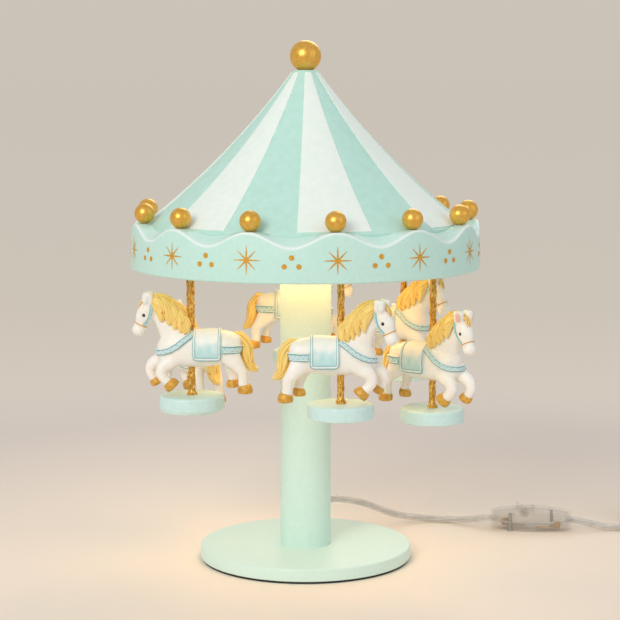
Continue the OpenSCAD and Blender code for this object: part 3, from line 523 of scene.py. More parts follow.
# Opal acrylic, evenly lit from behind: warm white, soft
opal = finish("lit opal acrylic", "#FBF3DF", "#FFFAEC", (0.3, 0.45), 8, 0.01,
              Emission_Color=(1.0, 0.49, 0.165, 1.0), Emission_Strength=5.7)
settle(rounded("diffuser", 0.3), "stand", "opal_plastic", opal, "diffuser")
# Turned brass hub, satin, with rings left by the tool
brass = finish("turned brass", "#B08A3E", "#CDA65A", (0.2, 0.36), 1, 0.01, (1, 1, 0.2), Metallic=1.0)
dress(brass, "hub")

# ------------------------------------------------------------------ cornice
# The scalloped ring of the canopy, moulded in mint ABS, with a rounded upper edge and a sloping
# top band, on the plate that carries the poles.  Its gold ornament is pad printed: an eight-rayed
# star under each crest and three dots under each trough.
cornice_low, cornice_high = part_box("cornice")
cornice_z, canopy_r = cornice_low[2] / MM, (cornice_high[0] - cornice_low[0]) / 2 / MM
crests, crest_bearing = 13, 9.8
crest_h, trough_drop, inner_drop = 32.8, 9.3, 3.7
cornice_wall, band_w, edge_lean, lip_r = 3.6, 9.4, 0.7, 1.15
columns_per_crest = 36
crest_z = cornice_z + crest_h
band_in_r = canopy_r - edge_lean - band_w
flat_seat = 0.5 + 0.5 * math.cos(math.pi / 10)
# Moulded ABS with a satin lacquer; along the rounded upper edge the edge attribute mixes it towards near-white,
# a painted highlight
mint_abs_edge_highlight, tree, shader = new_material("mint lacquered ABS")
peel = grain(tree, 2.2)
# The edge attribute is a painted highlight: it lightens the lacquer along the lip
edge = add_node(tree, "ShaderNodeAttribute", {"attribute_name": "edge"})
mixed = add_node(tree, "ShaderNodeMix", {"data_type": "RGBA"}, {"Factor": edge.outputs["Fac"]})
tree.links.new(colour_steps(tree, peel, [(0.3, "#C6ECDC"), (0.7, "#CEF1E3")]), mixed.inputs["A"])
mixed.inputs["B"].default_value = linear("#F2FBF5")
tree.links.new(mixed.outputs["Result"], shader.inputs["Base Color"])
rough_and_bumpy(tree, shader, peel, 0.32, 0.44, 0.02)


def cornice_section(angle):
    """Section as (radius, height, painted highlight) at an angle from a crest, in radians."""
    wave = min(1.0, (0.5 + 0.5 * math.cos(crests * angle)) / flat_seat)
    outer = crest_z - trough_drop * (1 - wave)
    inner = crest_z - inner_drop * (1 - wave)
    lip_at = canopy_r - edge_lean
    rise = math.degrees(math.atan2(inner - outer, band_w))
    foot = arc(canopy_r - 1.5, cornice_z + 1.5, 1.5, -90, 0, 6)
    lip = arc(lip_at - lip_r, outer - lip_r, lip_r, 0, 90 - rise, 9)
    # The third value of each point is painted highlight, strongest on the rounded lip
    return ([(r, z, 0.0) for r, z in foot]
            + [(lip_at + 0.06, outer - 2.6, 0.0), (lip_at + 0.03, outer - 1.9, 0.1)]
            + [(r, z, 0.85 if k > 0 else 0.5) for k, (r, z) in enumerate(lip)]
            + [(lip_at - 1.9, outer + 0.9 * math.tan(math.radians(rise)), 0.25),
               (lip_at - 3.0, outer + 2.0 * math.tan(math.radians(rise)), 0.1),
               (band_in_r + 0.4, inner - 0.02, 0.0), (band_in_r, inner - 0.4, 0.0),
               (band_in_r, inner - 2.2, 0.0),
               (canopy_r - cornice_wall, outer - 3, 0.0), (canopy_r - cornice_wall, cornice_z, 0.0)])


ring = Shape()
painted_highlight = []
columns = crests * columns_per_crest
for k in range(columns):
    section = cornice_section(2 * math.pi * k / columns)
    a = math.radians(crest_bearing - 90) + 2 * math.pi * k / columns
    ring.verts += [(r * math.cos(a), r * math.sin(a), z) for r, z, _ in section]
    painted_highlight += [pale for _, _, pale in section]
per = len(section)
ring.faces = [(k * per + j, (k + 1) % columns * per + j, (k + 1) % columns * per + (j + 1) % per,
               k * per + (j + 1) % per) for k in range(columns) for j in range(per)]
cornice = ring.piece("scalloped_cornice")
# The edge attribute carries the painted highlight to the lacquer
cornice.data.attributes.new("edge", "FLOAT", "POINT").data.foreach_set("value", painted_highlight)
settle(tidy_normals(cornice, 60), "carousel", "mint_plastic", mint_abs_edge_highlight, "cornice")
dress(mint_abs_edge_highlight, "carrier_plate")

# Gold printing, slightly raised, warm and not quite even
star_gold = finish("gold print", "#C98D1B", "#E6B03C", (0.32, 0.5), 1.4, 0.04, Metallic=0.15)


def stamp(shape, outline, z, u=0.0):
    """A thin raised figure on the front of the cornice; its outline is (sideways, up) from the middle."""
    first, count = len(shape.verts), len(outline)
    for lift in (-0.3, 0.14):
        for side, up in [(0, 0)] + outline:
            lean = edge_lean * (z + up - cornice_z - 1.6) / (crest_h - 2.1)
            r = canopy_r - lean + lift
            a = math.radians(-90) + (u + side) / canopy_r
            shape.verts.append((r * math.cos(a), r * math.sin(a), z + up))
    for k in range(count):
        a, b = first + 1 + k, first + 1 + (k + 1) % count
        shift = count + 1
        shape.faces += [(first, b, a), (first + shift, a + shift, b + shift), (a, b, b + shift, a + shift)]


def around_axis(name, template, count, start, material):
    """Count copies of a piece turned about the Z axis from a start angle, by Geometry Nodes."""
    group = bpy.data.node_groups.new(name, "GeometryNodeTree")
    for label, kind, value in (("Count", "NodeSocketInt", count), ("Start angle", "NodeSocketFloat", start)):
        group.interface.new_socket(label, in_out="INPUT", socket_type=kind).default_value = value
    group.interface.new_socket("Geometry", in_out="OUTPUT", socket_type="NodeSocketGeometry")
    given = add_node(group, "NodeGroupInput")
    step = add_node(group, "ShaderNodeMath", {"operation": "DIVIDE"},
                    {0: 2 * math.pi, 1: given.outputs["Count"]})
    places = add_node(group, "GeometryNodeMeshLine", None,
                      {"Count": given.outputs["Count"], "Offset": (0, 0, 0)})
    index = add_node(group, "GeometryNodeInputIndex")
    angle = add_node(group, "ShaderNodeMath", {"operation": "MULTIPLY_ADD"},
                     {0: index.outputs[0], 1: step.outputs[0], 2: given.outputs["Start angle"]})
    spin = add_node(group, "ShaderNodeCombineXYZ", None, {"Z": angle.outputs[0]})
    source = add_node(group, "GeometryNodeObjectInfo", None, {"Object": template})
    copies = add_node(group, "GeometryNodeInstanceOnPoints", None,
                      {"Points": places.outputs[0], "Instance": source.outputs["Geometry"],
                       "Rotation": spin.outputs[0]})
    real = add_node(group, "GeometryNodeRealizeInstances", None, {0: copies.outputs[0]})
    shown = add_node(group, "GeometryNodeSetMaterial", None,
                     {"Geometry": real.outputs[0], "Material": material})
    add_node(group, "NodeGroupOutput", None, {0: shown.outputs[0]})
    made = bpy.data.objects.new(name, bpy.data.meshes.new(name))
    scene.collection.objects.link(made)
    made.modifiers.new("copies", "NODES").node_group = group
    plain_mesh(made)
    bpy.data.objects.remove(template)
    return made


star_z, long_ray, short_ray = 223.6, 9.5, 8.9
dot_r, dot_places = 1.7, ((0, 225.6), (-4.7, 219.9), (4.7, 219.9))
# One ray from its valley over the tip and back: share of its length, half width
RAY = [(0.155, -0.6), (0.5, -0.46), (0.85, -0.22), (1, 0), (0.85, 0.22), (0.5, 0.46), (0.155, 0.6)]
star_outline = []
for k in range(8):
    along = np.array([math.cos(math.pi * k / 4), math.sin(math.pi * k / 4)])
    across = np.array([-along[1], along[0]])
    reach = long_ray if k % 2 == 0 else short_ray
    for share, half in RAY:
        star_outline.append(tuple(share * reach * along + half * across))
star = Shape()
stamp(star, star_outline, star_z)
dots = Shape()
dot_outline = [(dot_r * math.cos(a), dot_r * math.sin(a)) for a in np.linspace(0, 2 * math.pi, 24, False)]
for u, z in dot_places:
    stamp(dots, dot_outline, z, u)
for name, shape, start in (("gold_stars", star, crest_bearing),
                           ("gold_dots", dots, crest_bearing + 180 / crests)):
    printed = around_axis(name, shape.piece(name + "_one"), crests, math.radians(start), star_gold)
    settle(tidy_normals(printed), "carousel", "gold_pole", star_gold)

# ------------------------------------------------------------------ roof
# A tent-shaped shell in mint lacquer with seven pale gores laid on, each half a millimetre
# thick, and a gold-plated ball screwed on top.  Thirteen small balls are glued on the crests.
roof_top, rim_rise, roof_sag, roof_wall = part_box("roof_shell")[1][2] / MM, 30.8, 5, 2.4
roof_top_r, roof_r, rim_z = 8.2, band_in_r - 0.2, cornice_z + rim_rise
gores, gore_bearing, gore_t = 7, 10.15, 0.5
plate_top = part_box("carrier_plate")[1][2] / MM
roof_a, roof_c = np.array([roof_top_r, roof_top]), np.array([roof_r, rim_z])
fall = (roof_c - roof_a) / np.linalg.norm(roof_c - roof_a)
roof_b = (roof_a + roof_c) / 2 + 2 * roof_sag * np.array([fall[1], -fall[0]])


def roof_line(out, t0, t1, steps=40):
    """Points down the sagging roof line, moved outwards by out."""
    line = []
    for t in np.linspace(t0, t1, steps):
        p = (1 - t) ** 2 * roof_a + 2 * t * (1 - t) * roof_b + t * t * roof_c
        d = (1 - t) * (roof_b - roof_a) + t * (roof_c - roof_b)
        line.append(tuple(p + out * np.array([-d[1], d[0]]) / np.linalg.norm(d)))
    return line


# Sprayed lacquer, even, with a faint orange peel: satin on the mint roof, matt on the pale gores
roof_mint = finish("mint roof lacquer", "#BDE7D6", "#C6EDDE", (0.34, 0.46), 6, 0.02)
roof_pale = finish("pale roof lacquer", "#EDF9EC", "#F4FCF1", (0.55, 0.65), 6, 0.02)
stud_r = 2.55
inner_top = roof_line(-roof_wall, 0.06, 0.97)
settle(lathe("roof_skin", [(stud_r, roof_top)] + roof_line(0, 0, 1)
             + [(roof_r, plate_top), (roof_r - roof_wall, plate_top), (roof_r - roof_wall, rim_z - 1)]
             + inner_top[::-1] + [(stud_r, inner_top[0][1])], steps=280),
       "carousel", "roof_mint", roof_mint, "roof_shell")
gore = lathe("gore", roof_line(0.02, 0.015, 0.985) + roof_line(gore_t, 0.985, 0.015), steps=28,
             first=-90 - 90 / gores, last=-90 + 90 / gores)
settle(tidy_normals(around_axis("pale_gores", gore, gores, math.radians(gore_bearing), roof_pale)),
       "carousel", "roof_cream", roof_pale, "roof_gores")

# Plated balls: brushed to satin, the colour of old brass
gold_plate = finish("satin gold plating", "#E4AC42", "#F3C463", (0.28, 0.38), 2, 0.02, Metallic=0.72)
finial_low, finial_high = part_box("finial")
finial_r, finial_seat_r = (finial_high[0] - finial_low[0]) / 2 / MM, 4.8
finial_z = roof_top + math.sqrt(finial_r ** 2 - finial_seat_r ** 2)
stud_low = finial_low[2] / MM
seat_angle = math.degrees(math.asin((roof_top - finial_z) / finial_r))
settle(lathe("finial_ball", [(0, stud_low), (stud_r - 0.05, stud_low), (stud_r - 0.05, roof_top)]
             + arc(0, finial_z, finial_r, seat_angle, 90, 40), steps=96),
       "carousel", "gold_ball", gold_plate, "finial")
ball_r, ball_flat_r = 7.0, 2.2
ball_z = crest_z + math.sqrt(ball_r ** 2 - ball_flat_r ** 2)
ball_circle_r = band_in_r + ball_flat_r + 0.1
flat_angle = math.degrees(math.asin((crest_z - ball_z) / ball_r))
rim_ball = lathe("rim_ball", [(0, crest_z)] + arc(0, ball_z, ball_r, flat_angle, 90, 30),
                 at=(0, -ball_circle_r), steps=56)
settle(tidy_normals(around_axis("gold_balls", rim_ball, crests, math.radians(crest_bearing), gold_plate)),
       "carousel", "gold_ball", gold_plate, "rim_balls")
dress(zinc, "finial_nut")

# ------------------------------------------------------------------ poles and discs
# Gold poles, pressed to a rope twist between disc and canopy, with a small flared foot, held by
# bushes and nuts in the carrier plate.  Each ends in a turned wooden disc lacquered in mint.
pole_r, foot_r, foot_h = 2.5, 3.9, 4.2
twist_pitch, twist_in_r, strand_count = 30.0, 2.2, 3
pole_group = bpy.data.node_groups.new("rope twist", "GeometryNodeTree")
for label, kind, value in (("Foot", "NodeSocketVector", (0, 0, 0)), ("Top", "NodeSocketVector", (0, 0, 0.1)),
                           ("Radius", "NodeSocketFloat", pole_r * MM),
                           ("Groove radius", "NodeSocketFloat", twist_in_r * MM),
                           ("Pitch", "NodeSocketFloat", twist_pitch * MM),
                           ("Foot radius", "NodeSocketFloat", foot_r * MM),
                           ("Foot height", "NodeSocketFloat", foot_h * MM)):
    pole_group.interface.new_socket(label, in_out="INPUT", socket_type=kind).default_value = value
pole_group.interface.new_socket("Geometry", in_out="OUTPUT", socket_type="NodeSocketGeometry")
# Gold lacquer, mottled like old gilding
pole_gold, tree, shader = new_material("antique gold lacquer", Metallic=0.4)
cast = grain(tree, 1.1, stretch=(1, 1, 2.0))
tree.links.new(colour_steps(tree, cast, [(0.32, "#A8711C"), (0.5, "#DBA137"), (0.66, "#FADA84")]),
               shader.inputs["Base Color"])
rough_and_bumpy(tree, shader, cast, 0.24, 0.42, 0.06)
given = add_node(pole_group, "NodeGroupInput")
line = add_node(pole_group, "GeometryNodeCurvePrimitiveLine", None,
                {"Start": given.outputs["Foot"], "End": given.outputs["Top"]})
fine = add_node(pole_group, "GeometryNodeResampleCurve", {"mode": "LENGTH"},
                {"Curve": line.outputs[0], "Length": 0.5 * MM})
along = add_node(pole_group, "GeometryNodeSplineParameter")
turns = add_node(pole_group, "ShaderNodeMath", {"operation": "DIVIDE"},
                 {0: along.outputs["Length"], 1: given.outputs["Pitch"]})
tilt = add_node(pole_group, "ShaderNodeMath", {"operation": "MULTIPLY"}, {0: turns.outputs[0], 1: 2 * math.pi})
tilted = add_node(pole_group, "GeometryNodeSetCurveTilt", None,
                  {"Curve": fine.outputs[0], "Tilt": tilt.outputs[0]})
swell = add_node(pole_group, "ShaderNodeMath", {"operation": "DIVIDE"},
                 {0: given.outputs["Foot radius"], 1: given.outputs["Radius"]})
flare = add_node(pole_group, "ShaderNodeMapRange", {"interpolation_type": "SMOOTHSTEP"},
                 {"Value": along.outputs["Length"], "From Max": given.outputs["Foot height"],
                  "To Min": swell.outputs[0], "To Max": 1.0})
sized = add_node(pole_group, "GeometryNodeSetCurveRadius", None,
                 {"Curve": tilted.outputs[0], "Radius": flare.outputs["Result"]})
star_profile = add_node(pole_group, "GeometryNodeCurveStar", None,
                        {"Points": strand_count, "Inner Radius": given.outputs["Groove radius"],
                         "Outer Radius": given.outputs["Radius"]})
profile = add_node(pole_group, "GeometryNodeCurveSplineType", {"spline_type": "CATMULL_ROM"},
                   {"Curve": star_profile.outputs["Curve"]})
swept = add_node(pole_group, "GeometryNodeCurveToMesh", None,
                 {"Curve": sized.outputs[0], "Profile Curve": profile.outputs[0], "Fill Caps": True})
if "Scale" in swept.inputs:
    pole_group.links.new(flare.outputs["Result"], swept.inputs["Scale"])
real = add_node(pole_group, "GeometryNodeRealizeInstances", None, {0: swept.outputs[0]})
shown = add_node(pole_group, "GeometryNodeSetMaterial", None,
                 {"Geometry": real.outputs[0], "Material": pole_gold})
add_node(pole_group, "NodeGroupOutput", None, {0: shown.outputs[0]})
sockets = {item.name: item.identifier for item in pole_group.interface.items_tree if item.in_out == "INPUT"}

# Turned beech under a mint lacquer: smooth, faintly uneven
disc_lacquer = finish("mint disc lacquer", "#CDEBE3", "#D6F1EA", (0.32, 0.45), 3, 0.02)
disc_hole_r, screw_head_r, screw_head_h, disc_floor, disc_edge_r, disc_foot_r = 1.55, 3.4, 2.8, 3, 1.8, 0.6
pole_fit, plain_end_gap, end_r = 0.05, 3, 0.3
for i in range(1, 7):
    low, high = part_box(f"horse_disc_{i}")
    px, py = (low[0] + high[0]) / 2, (low[1] + high[1]) / 2
    disc_r, bottom, top = (high[0] - low[0]) / 2 / MM, low[2] / MM, high[2] / MM
    socket_r = pole_r + pole_fit
    disc = lathe(f"turned_disc_{i}",
                 [(disc_hole_r, bottom + screw_head_h), (screw_head_r, bottom + screw_head_h),
                  (screw_head_r, bottom), (disc_r - disc_foot_r, bottom), (disc_r, bottom + disc_foot_r)]
                 + arc(disc_r - disc_edge_r, top - disc_edge_r, disc_edge_r, 0, 90, 9)
                 + [(socket_r, top), (socket_r, bottom + disc_floor), (disc_hole_r, bottom + disc_floor)],
                 at=(px / MM, py / MM), steps=110)
    settle(disc, "carousel", "disc_wood", disc_lacquer, f"horse_disc_{i}")
    pole_low, pole_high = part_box(f"pole_{i}")
    made = bpy.data.objects.new(f"twisted_pole_{i}", bpy.data.meshes.new("pole"))
    scene.collection.objects.link(made)
    twist = made.modifiers.new("twist", "NODES")
    twist.node_group = pole_group
    twist[sockets["Foot"]] = (px, py, high[2])
    twist[sockets["Top"]] = (px, py, (plate_top - plain_end_gap) * MM)
    plain_mesh(made)
    # The plain ends, held in the disc and in the bush, reach half a millimetre into the twist
    held = Shape()
    for z0, z1 in ((pole_low[2] / MM, top + 0.5), (plate_top - plain_end_gap - 0.5, pole_high[2] / MM)):
        held.rod([(px / MM, py / MM, z) for z in (z0, z0 + end_r, z1 - end_r, z1)],
                 [pole_r - end_r, pole_r, pole_r, pole_r - end_r], around=32)
    made = joined(f"twisted_pole_{i}", [made, paint(held.piece("held"), pole_gold)])
    settle(tidy_normals(made), "carousel", "gold_pole", pole_gold, f"pole_{i}")
settle(rounded("pole_ferrules", 0.3), "carousel", "gold_pole", gold_plate, "pole_ferrules")
dress(zinc, "pole_nuts", "disc_screws")

# ------------------------------------------------------------------ horses
# Six moulded resin horses, each on its pole: white body, golden mane and tail, gold hooves, an
# aqua blanket, breast strap and crupper strap with white piping.  One horse is built at the
# origin, facing +X with the pole on the Z axis, then copied with its own turn of the head.
# Sections along each body part: place (x, y, z), half width, half height, pitch of the path above +X
HORSE_TRUNK = [[-34.5, 0, 34.5, 2.5, 3, 0], [-32.5, 0, 34, 6.4, 6.2, 0], [-28, 0, 32.8, 9.2, 8.4, 0],
               [-21, 0, 31.4, 10.2, 11.4, 0], [-13, 0, 30.8, 10, 12.5, 0], [-5, 0, 30.3, 9.8, 12.5, 0],
               [3, 0, 30.6, 9.8, 12.8, 0], [10, 0, 30.6, 9.6, 12.4, 0], [16, 0, 30.4, 8.6, 10.6, 0],
               [20.5, 0, 29.6, 6.4, 8.2, 0], [23, 0, 29, 3, 4.4, 0]]
HORSE_NECK = [[4, 0, 29, 7.4, 12, 40], [6.5, 0, 33, 7.6, 12.4, 46], [10.5, 0, 39.5, 7, 10.8, 56],
              [15, 0, 47, 5.8, 8.6, 60], [19.5, 0, 54, 5, 7, 58], [24, 0, 60, 4.2, 5, 48]]
HORSE_HEAD = [[23.5, 0, 63, 3.2, 3, -62], [25.4, 0, 61, 4.8, 5.2, -62], [27.8, 0, 57.6, 5.6, 6.5, -64],
              [31.2, 0, 52.4, 5.1, 6.2, -64], [33.8, 0, 47.4, 3.9, 4.4, -64], [35.2, 0, 43.8, 3.9, 4.2, -66],
              [36.8, 0, 40.4, 3, 3, -66]]
MUZZLE = [[34.2, 0, 46.6, 1, 1, -66], [34.7, 0, 45.6, 3.4, 3.4, -66], [35.5, 0, 43, 4.6, 4.6, -66],
          [36.5, 0, 40.2, 3.7, 3.7, -66], [36.9, 0, 38.8, 1, 1, -66]]
EAR = [[28, 3, 59, 2.2, 2.8, 84], [28.4, 3.5, 61.4, 2.7, 3.6, 84], [28.8, 3.9, 64.6, 2.8, 3.8, 84],
       [29, 4.1, 67.2, 2.7, 3.6, 84], [29.1, 4.1, 68.4, 2, 2.8, 84]]
HIND_NEAR = [[-22, -4.2, 31, 5, 9, 262], [-27, -5, 24, 4.8, 6.8, 245], [-31.6, -5.4, 18.6, 4, 4.6, 240],
             [-34.6, -5.4, 14.6, 3.3, 3.8, 262], [-34.8, -5.4, 10.6, 3, 3.3, 272],
             [-35, -5.4, 7, 3.2, 3.5, 262], [-35.8, -5.4, 3.6, 3.5, 3.8, 265]]
HIND_FAR = [[-19, 4.2, 30, 5, 8, 265], [-22.6, 5, 23, 4.6, 5.6, 255], [-25, 5.2, 17, 3.6, 4, 262],
            [-26.6, 5.2, 12.6, 2.8, 3, 255], [-27.6, 5.2, 8.8, 2.9, 3, 258], [-27.8, 5.2, 6, 3.2, 3.3, 265]]
FORE_NEAR = [[9, -4.2, 27, 5, 7.4, 300], [14.5, -5, 21.6, 4.6, 5.4, 325], [19, -5.5, 18.2, 4, 4.5, 320],
             [20, -5.5, 13.8, 3.5, 3.8, 255], [17.6, -5.5, 9.8, 3.2, 3.4, 232],
             [14.6, -5.5, 7.2, 3.4, 3.6, 228]]
FORE_FAR = [[14, 4.2, 27.5, 5, 6.6, 315], [21, 5, 22.4, 4.5, 5.2, 335], [26.6, 5.4, 18.8, 4, 4.4, 310],
            [28.2, 5.4, 14.6, 3.3, 3.6, 262], [27, 5.4, 10.6, 3, 3.1, 245], [25.2, 5.4, 8.4, 3.1, 3.2, 240]]
HOOVES = [[[-35.4, -5.4, 6.6, 2.6, 2.8, 262], [-35.7, -5.4, 5.8, 3.9, 4.2, 262], [-36, -5.4, 4.4, 4.5, 4.9, 266],
           [-36.2, -5.4, 2, 4.7, 5.2, 270], [-36.2, -5.4, 0.6, 4.1, 4.6, 270], [-36.1, -5.4, 0.1, 2.6, 3, 270]],
          [[-27.6, 5.2, 8.6, 2.6, 2.6, 262], [-27.5, 5.2, 8, 3.6, 3.6, 262], [-27.3, 5.2, 6.6, 4.1, 4.2, 266],
           [-27.1, 5.2, 4.4, 4.2, 4.4, 268], [-27, 5.2, 3.1, 3.6, 3.8, 270], [-27, 5.2, 2.7, 2.2, 2.4, 270]],
          [[15.9, -5.5, 8.6, 2.8, 3, 227], [15.2, -5.5, 8, 4, 4.3, 227], [13.9, -5.5, 6.7, 4.5, 5, 226],
           [12.4, -5.5, 5.3, 4.6, 5.2, 226], [11.6, -5.5, 4.6, 4, 4.6, 226], [11.3, -5.5, 4.4, 2.4, 2.8, 226]],
          [[26, 5.4, 9.6, 2.6, 2.8, 238], [25.5, 5.4, 8.9, 3.7, 3.9, 238], [24.6, 5.4, 7.6, 4.1, 4.4, 236],
           [23.5, 5.4, 6.4, 4.2, 4.5, 236], [22.9, 5.4, 5.6, 3.6, 3.9, 236], [22.7, 5.4, 5.3, 2.2, 2.4, 236]]]
HORSE_TAIL = [[-27.5, 0, 40, 1.6, 1.2, 165], [-32.6, 0, 39, 3.2, 2.4, 205], [-36.6, 0, 33, 4, 3.4, 252],
              [-37, 0, 26, 4.2, 4, 268], [-38, 0, 21, 4, 3.7, 255], [-41, 0, 17.4, 3, 3, 215],
              [-44.4, 0, 15.2, 1.2, 1.2, 200]]
MANE_CREST = [[2, 0, 42.5, 3.4, 2, 58], [4.4, 0, 46.5, 4.4, 3.4, 56], [8.4, 0, 52.4, 4.6, 4.2, 56],
              [12.8, 0, 58, 4.4, 4.6, 54], [18, 0, 62.6, 4.2, 4, 36], [24, 0, 64.6, 3.6, 3, 8],
              [29, 0, 63.8, 2.2, 1.8, -35]]
# Locks start on the crest (x, z), fall back over the neck and end in a point
LOCK_ROOTS = [[27.4, 65], [22.6, 64.4], [17.6, 61.6], [12.8, 57.6], [8.6, 52.6]]
LOCK_TIPS = [[18.6, 49], [13.4, 46.6], [9.4, 43.6], [5.4, 41.6], [2.4, 40.4]]
FULL_TIPS = [[17.4, 46.6], [12, 44], [7.6, 41.2], [3.4, 39.6], [0.4, 39.4]]
# Along a lock: share of its way, distance from the middle of the neck, half width, half height
LOCK_SECTIONS = [(0, 1.4, 1.6, 1.4), (0.14, 3.0, 2.4, 2.8), (0.34, 4.8, 2.7, 3.7), (0.56, 6.0, 2.5, 3.7),
                 (0.78, 6.6, 1.9, 2.9), (0.93, 6.6, 1.2, 1.7), (1, 6.4, 0.5, 0.6)]


def mane_lock(root, tip):
    """Sections of one lock from its root over the side of the neck to its tip."""
    (x0, z0), (x1, z1) = root, tip
    rows = []
    for t, out, wide, high in LOCK_SECTIONS:
        back = math.sin(t * math.pi / 2)
        down = 1 - math.cos(t * math.pi / 2)
        flick = 1.6 * max(0.0, t - 0.7) / 0.3
        rows.append([x0 + (x1 - x0) * back + flick, out, z0 + (z1 - z0) * (0.35 * t + 0.65 * down), wide, high,
                     200 + 80 * t])
    return rows


def ring_points(row, turn, power=1.0, out=0.0):
    """Points of one oval section (x, y, z, half width, half height, pitch of the path above +X)."""
    x, y, z, wide, high, pitch = row
    c, s = np.cos(turn), np.sin(turn)
    c = np.sign(c) * np.abs(c) ** power * (max(wide, 0.1) + out)
    s = np.sign(s) * np.abs(s) ** power * (max(high, 0.1) + out)
    a = math.radians(pitch)
    return np.column_stack([x - s * math.sin(a), y + c, z + s * math.cos(a)])


body = Shape()
body.loft(HORSE_TRUNK, power=0.86)
body.loft(HORSE_NECK)
body.loft(HORSE_HEAD, power=0.92)
body.loft(MUZZLE)
for leg in (HIND_NEAR, HIND_FAR, FORE_NEAR, FORE_FAR):
    body.loft(leg, around=22)
for side in (1, -1):
    body.both_sides(side, lambda: body.loft(EAR, around=20, step=0.8, power=0.65))
horse_body = body.piece("horse_body")
fused = horse_body.modifiers.new("fuse", "REMESH")
fused.mode = "VOXEL"
fused.voxel_size = 0.62 * MM
fused.use_smooth_shade = True
eased_over = horse_body.modifiers.new("ease", "SMOOTH")
eased_over.factor = 0.6
eased_over.iterations = 7
plain_mesh(horse_body)

body_tree = BVHTree.FromPolygons([v.co / MM for v in horse_body.data.vertices],
                                 [tuple(p.vertices) for p in horse_body.data.polygons])


def hit(origin, target):
    """Where a ray from origin towards target meets the body, and the normal there."""
    way = Vector(target) - Vector(origin)
    at, normal, _, _ = body_tree.ray_cast(Vector(origin), way.normalized())
    return (np.array(at), np.array(normal)) if at is not None else (None, None)


def cast_path(origins, targets):
    """Hits of many rays, without those that miss."""
    pairs = [hit(o, t) for o, t in zip(origins, targets)]
    kept = [(a, n) for a, n in pairs if a is not None]
    return np.array([a for a, _ in kept]), np.array([n for _, n in kept])


def round_path(x, y, angles, height_of):
    """A path round a vertical axis at (x, y) on the body; its height follows from x by height_of."""
    origins, targets = [], []
    for a in angles:
        z = height_of(x)
        for _ in range(4):
            at, _ = hit((x + 40 * math.cos(a), y + 40 * math.sin(a), z), (x, y, z))
            z = height_of(at[0]) if at is not None else z
        origins.append((x + 40 * math.cos(a), y + 40 * math.sin(a), z))
        targets.append((x, y, z))
    return cast_path(origins, targets)


def strap(shape, path, normals, width, thick, offset=0.0):
    """A flat strap with rounded edges that lies on the body; offset moves it sideways."""
    d = np.gradient(path, axis=0)
    across = np.cross(normals, d)
    across /= np.linalg.norm(across, axis=1)[:, None]
    line = path + across * offset + normals * thick * 0.35
    shape.rod(line, width / 2, around=12, flat=2 * thick / width, normals=normals)


def strands(shape, sections, count, radius, waves=1.2, swing=0.22, seed=1):
    """Wavy strands of hair that lie on the skin of a loft and taper at both ends."""
    rows = smooth_line(sections, 0.9)
    t = np.linspace(0, 1, len(rows))
    for k in range(count):
        a = 2 * math.pi * k / count + swing * np.sin(2 * math.pi * (waves * t + seed * 0.37 + k * 0.19))
        line = [ring_points(row, np.array([angle]), out=-0.25)[0] for row, angle in zip(rows, a)]
        taper = radius * np.clip(np.minimum(t / 0.18, (1 - t) / 0.3), 0.12, 1) ** 0.7
        shape.rod(line, taper, around=8, flat=0.8)


def slope(points):
    """Height against x by straight pieces between points."""
    xs, zs = zip(*sorted(points))
    return lambda x: float(np.interp(x, xs, zs))


# Blanket: a raised pad over the back, open to the pole, with rounded lower corners
blanket_front, blanket_back = -0.8, -20.4
blanket_low, blanket_corner, blanket_steps = 22.6, 3.4, 61
trunk_z, trunk_r = 31, 12.6
blanket = Shape()
blanket_rows = []
for u in np.linspace(0, 1, 30):
    x = blanket_back + (blanket_front - blanket_back) * u
    inset = max(0.0, blanket_corner - min(x - blanket_back, blanket_front - x))
    low = blanket_low + blanket_corner - math.sqrt(max(0.0, blanket_corner ** 2 - inset ** 2))
    blanket_rows.append((x, low))


def blanket_point(x, low, v):
    """v runs from -1 (lower edge, near side) over the back to 1 (lower edge, far side)."""
    reach = math.pi - math.acos(max(-1.0, min(1.0, (trunk_z - low) / trunk_r)))
    a = abs(v) * reach
    side = 1 if v >= 0 else -1
    at, normal = hit((x, side * 30 * math.sin(a), trunk_z + 30 * math.cos(a)), (x, 0, trunk_z))
    hang = max(0.0, (trunk_z + 5 - at[2]) / 14)
    return at + normal * (0.75 + 0.7 * hang * hang)


blanket_grid = [[blanket_point(x, low, v) for v in np.linspace(-1, 1, blanket_steps)]
                for x, low in blanket_rows]
inner_grid = [[p * [1, 0.8, 1] - [0, 0, 0.3] for p in row] for row in blanket_grid]
for row, inner in zip(blanket_grid, inner_grid):
    blanket.verts += [tuple(p) for p in row] + [tuple(p) for p in reversed(inner)]
blanket.faces = tube_faces(len(blanket_grid), 2 * blanket_steps)


def blanket_outline(inset):
    """Closed line on the pad, a little inside its edge."""
    line = []
    rows = [(x, low) for x, low in blanket_rows if blanket_back + inset <= x <= blanket_front - inset]
    for side in (-1, 1):
        edge = rows if side < 0 else rows[::-1]
        line += [blanket_point(x, low + inset, side * 1.0) for x, low in edge]
        x, low = edge[-1]
        line += [blanket_point(x, low + inset, v) for v in np.linspace(-0.96, 0.96, 50) * -side]
    line.append(line[0])
    return np.array(line)


piping = Shape()
piping.rod(blanket_outline(1.0), 0.62, around=8)
dark_line = Shape()
dark_line.rod(blanket_outline(0.15), 0.26, around=6)
dark_line.rod(blanket_outline(1.85), 0.22, around=6)

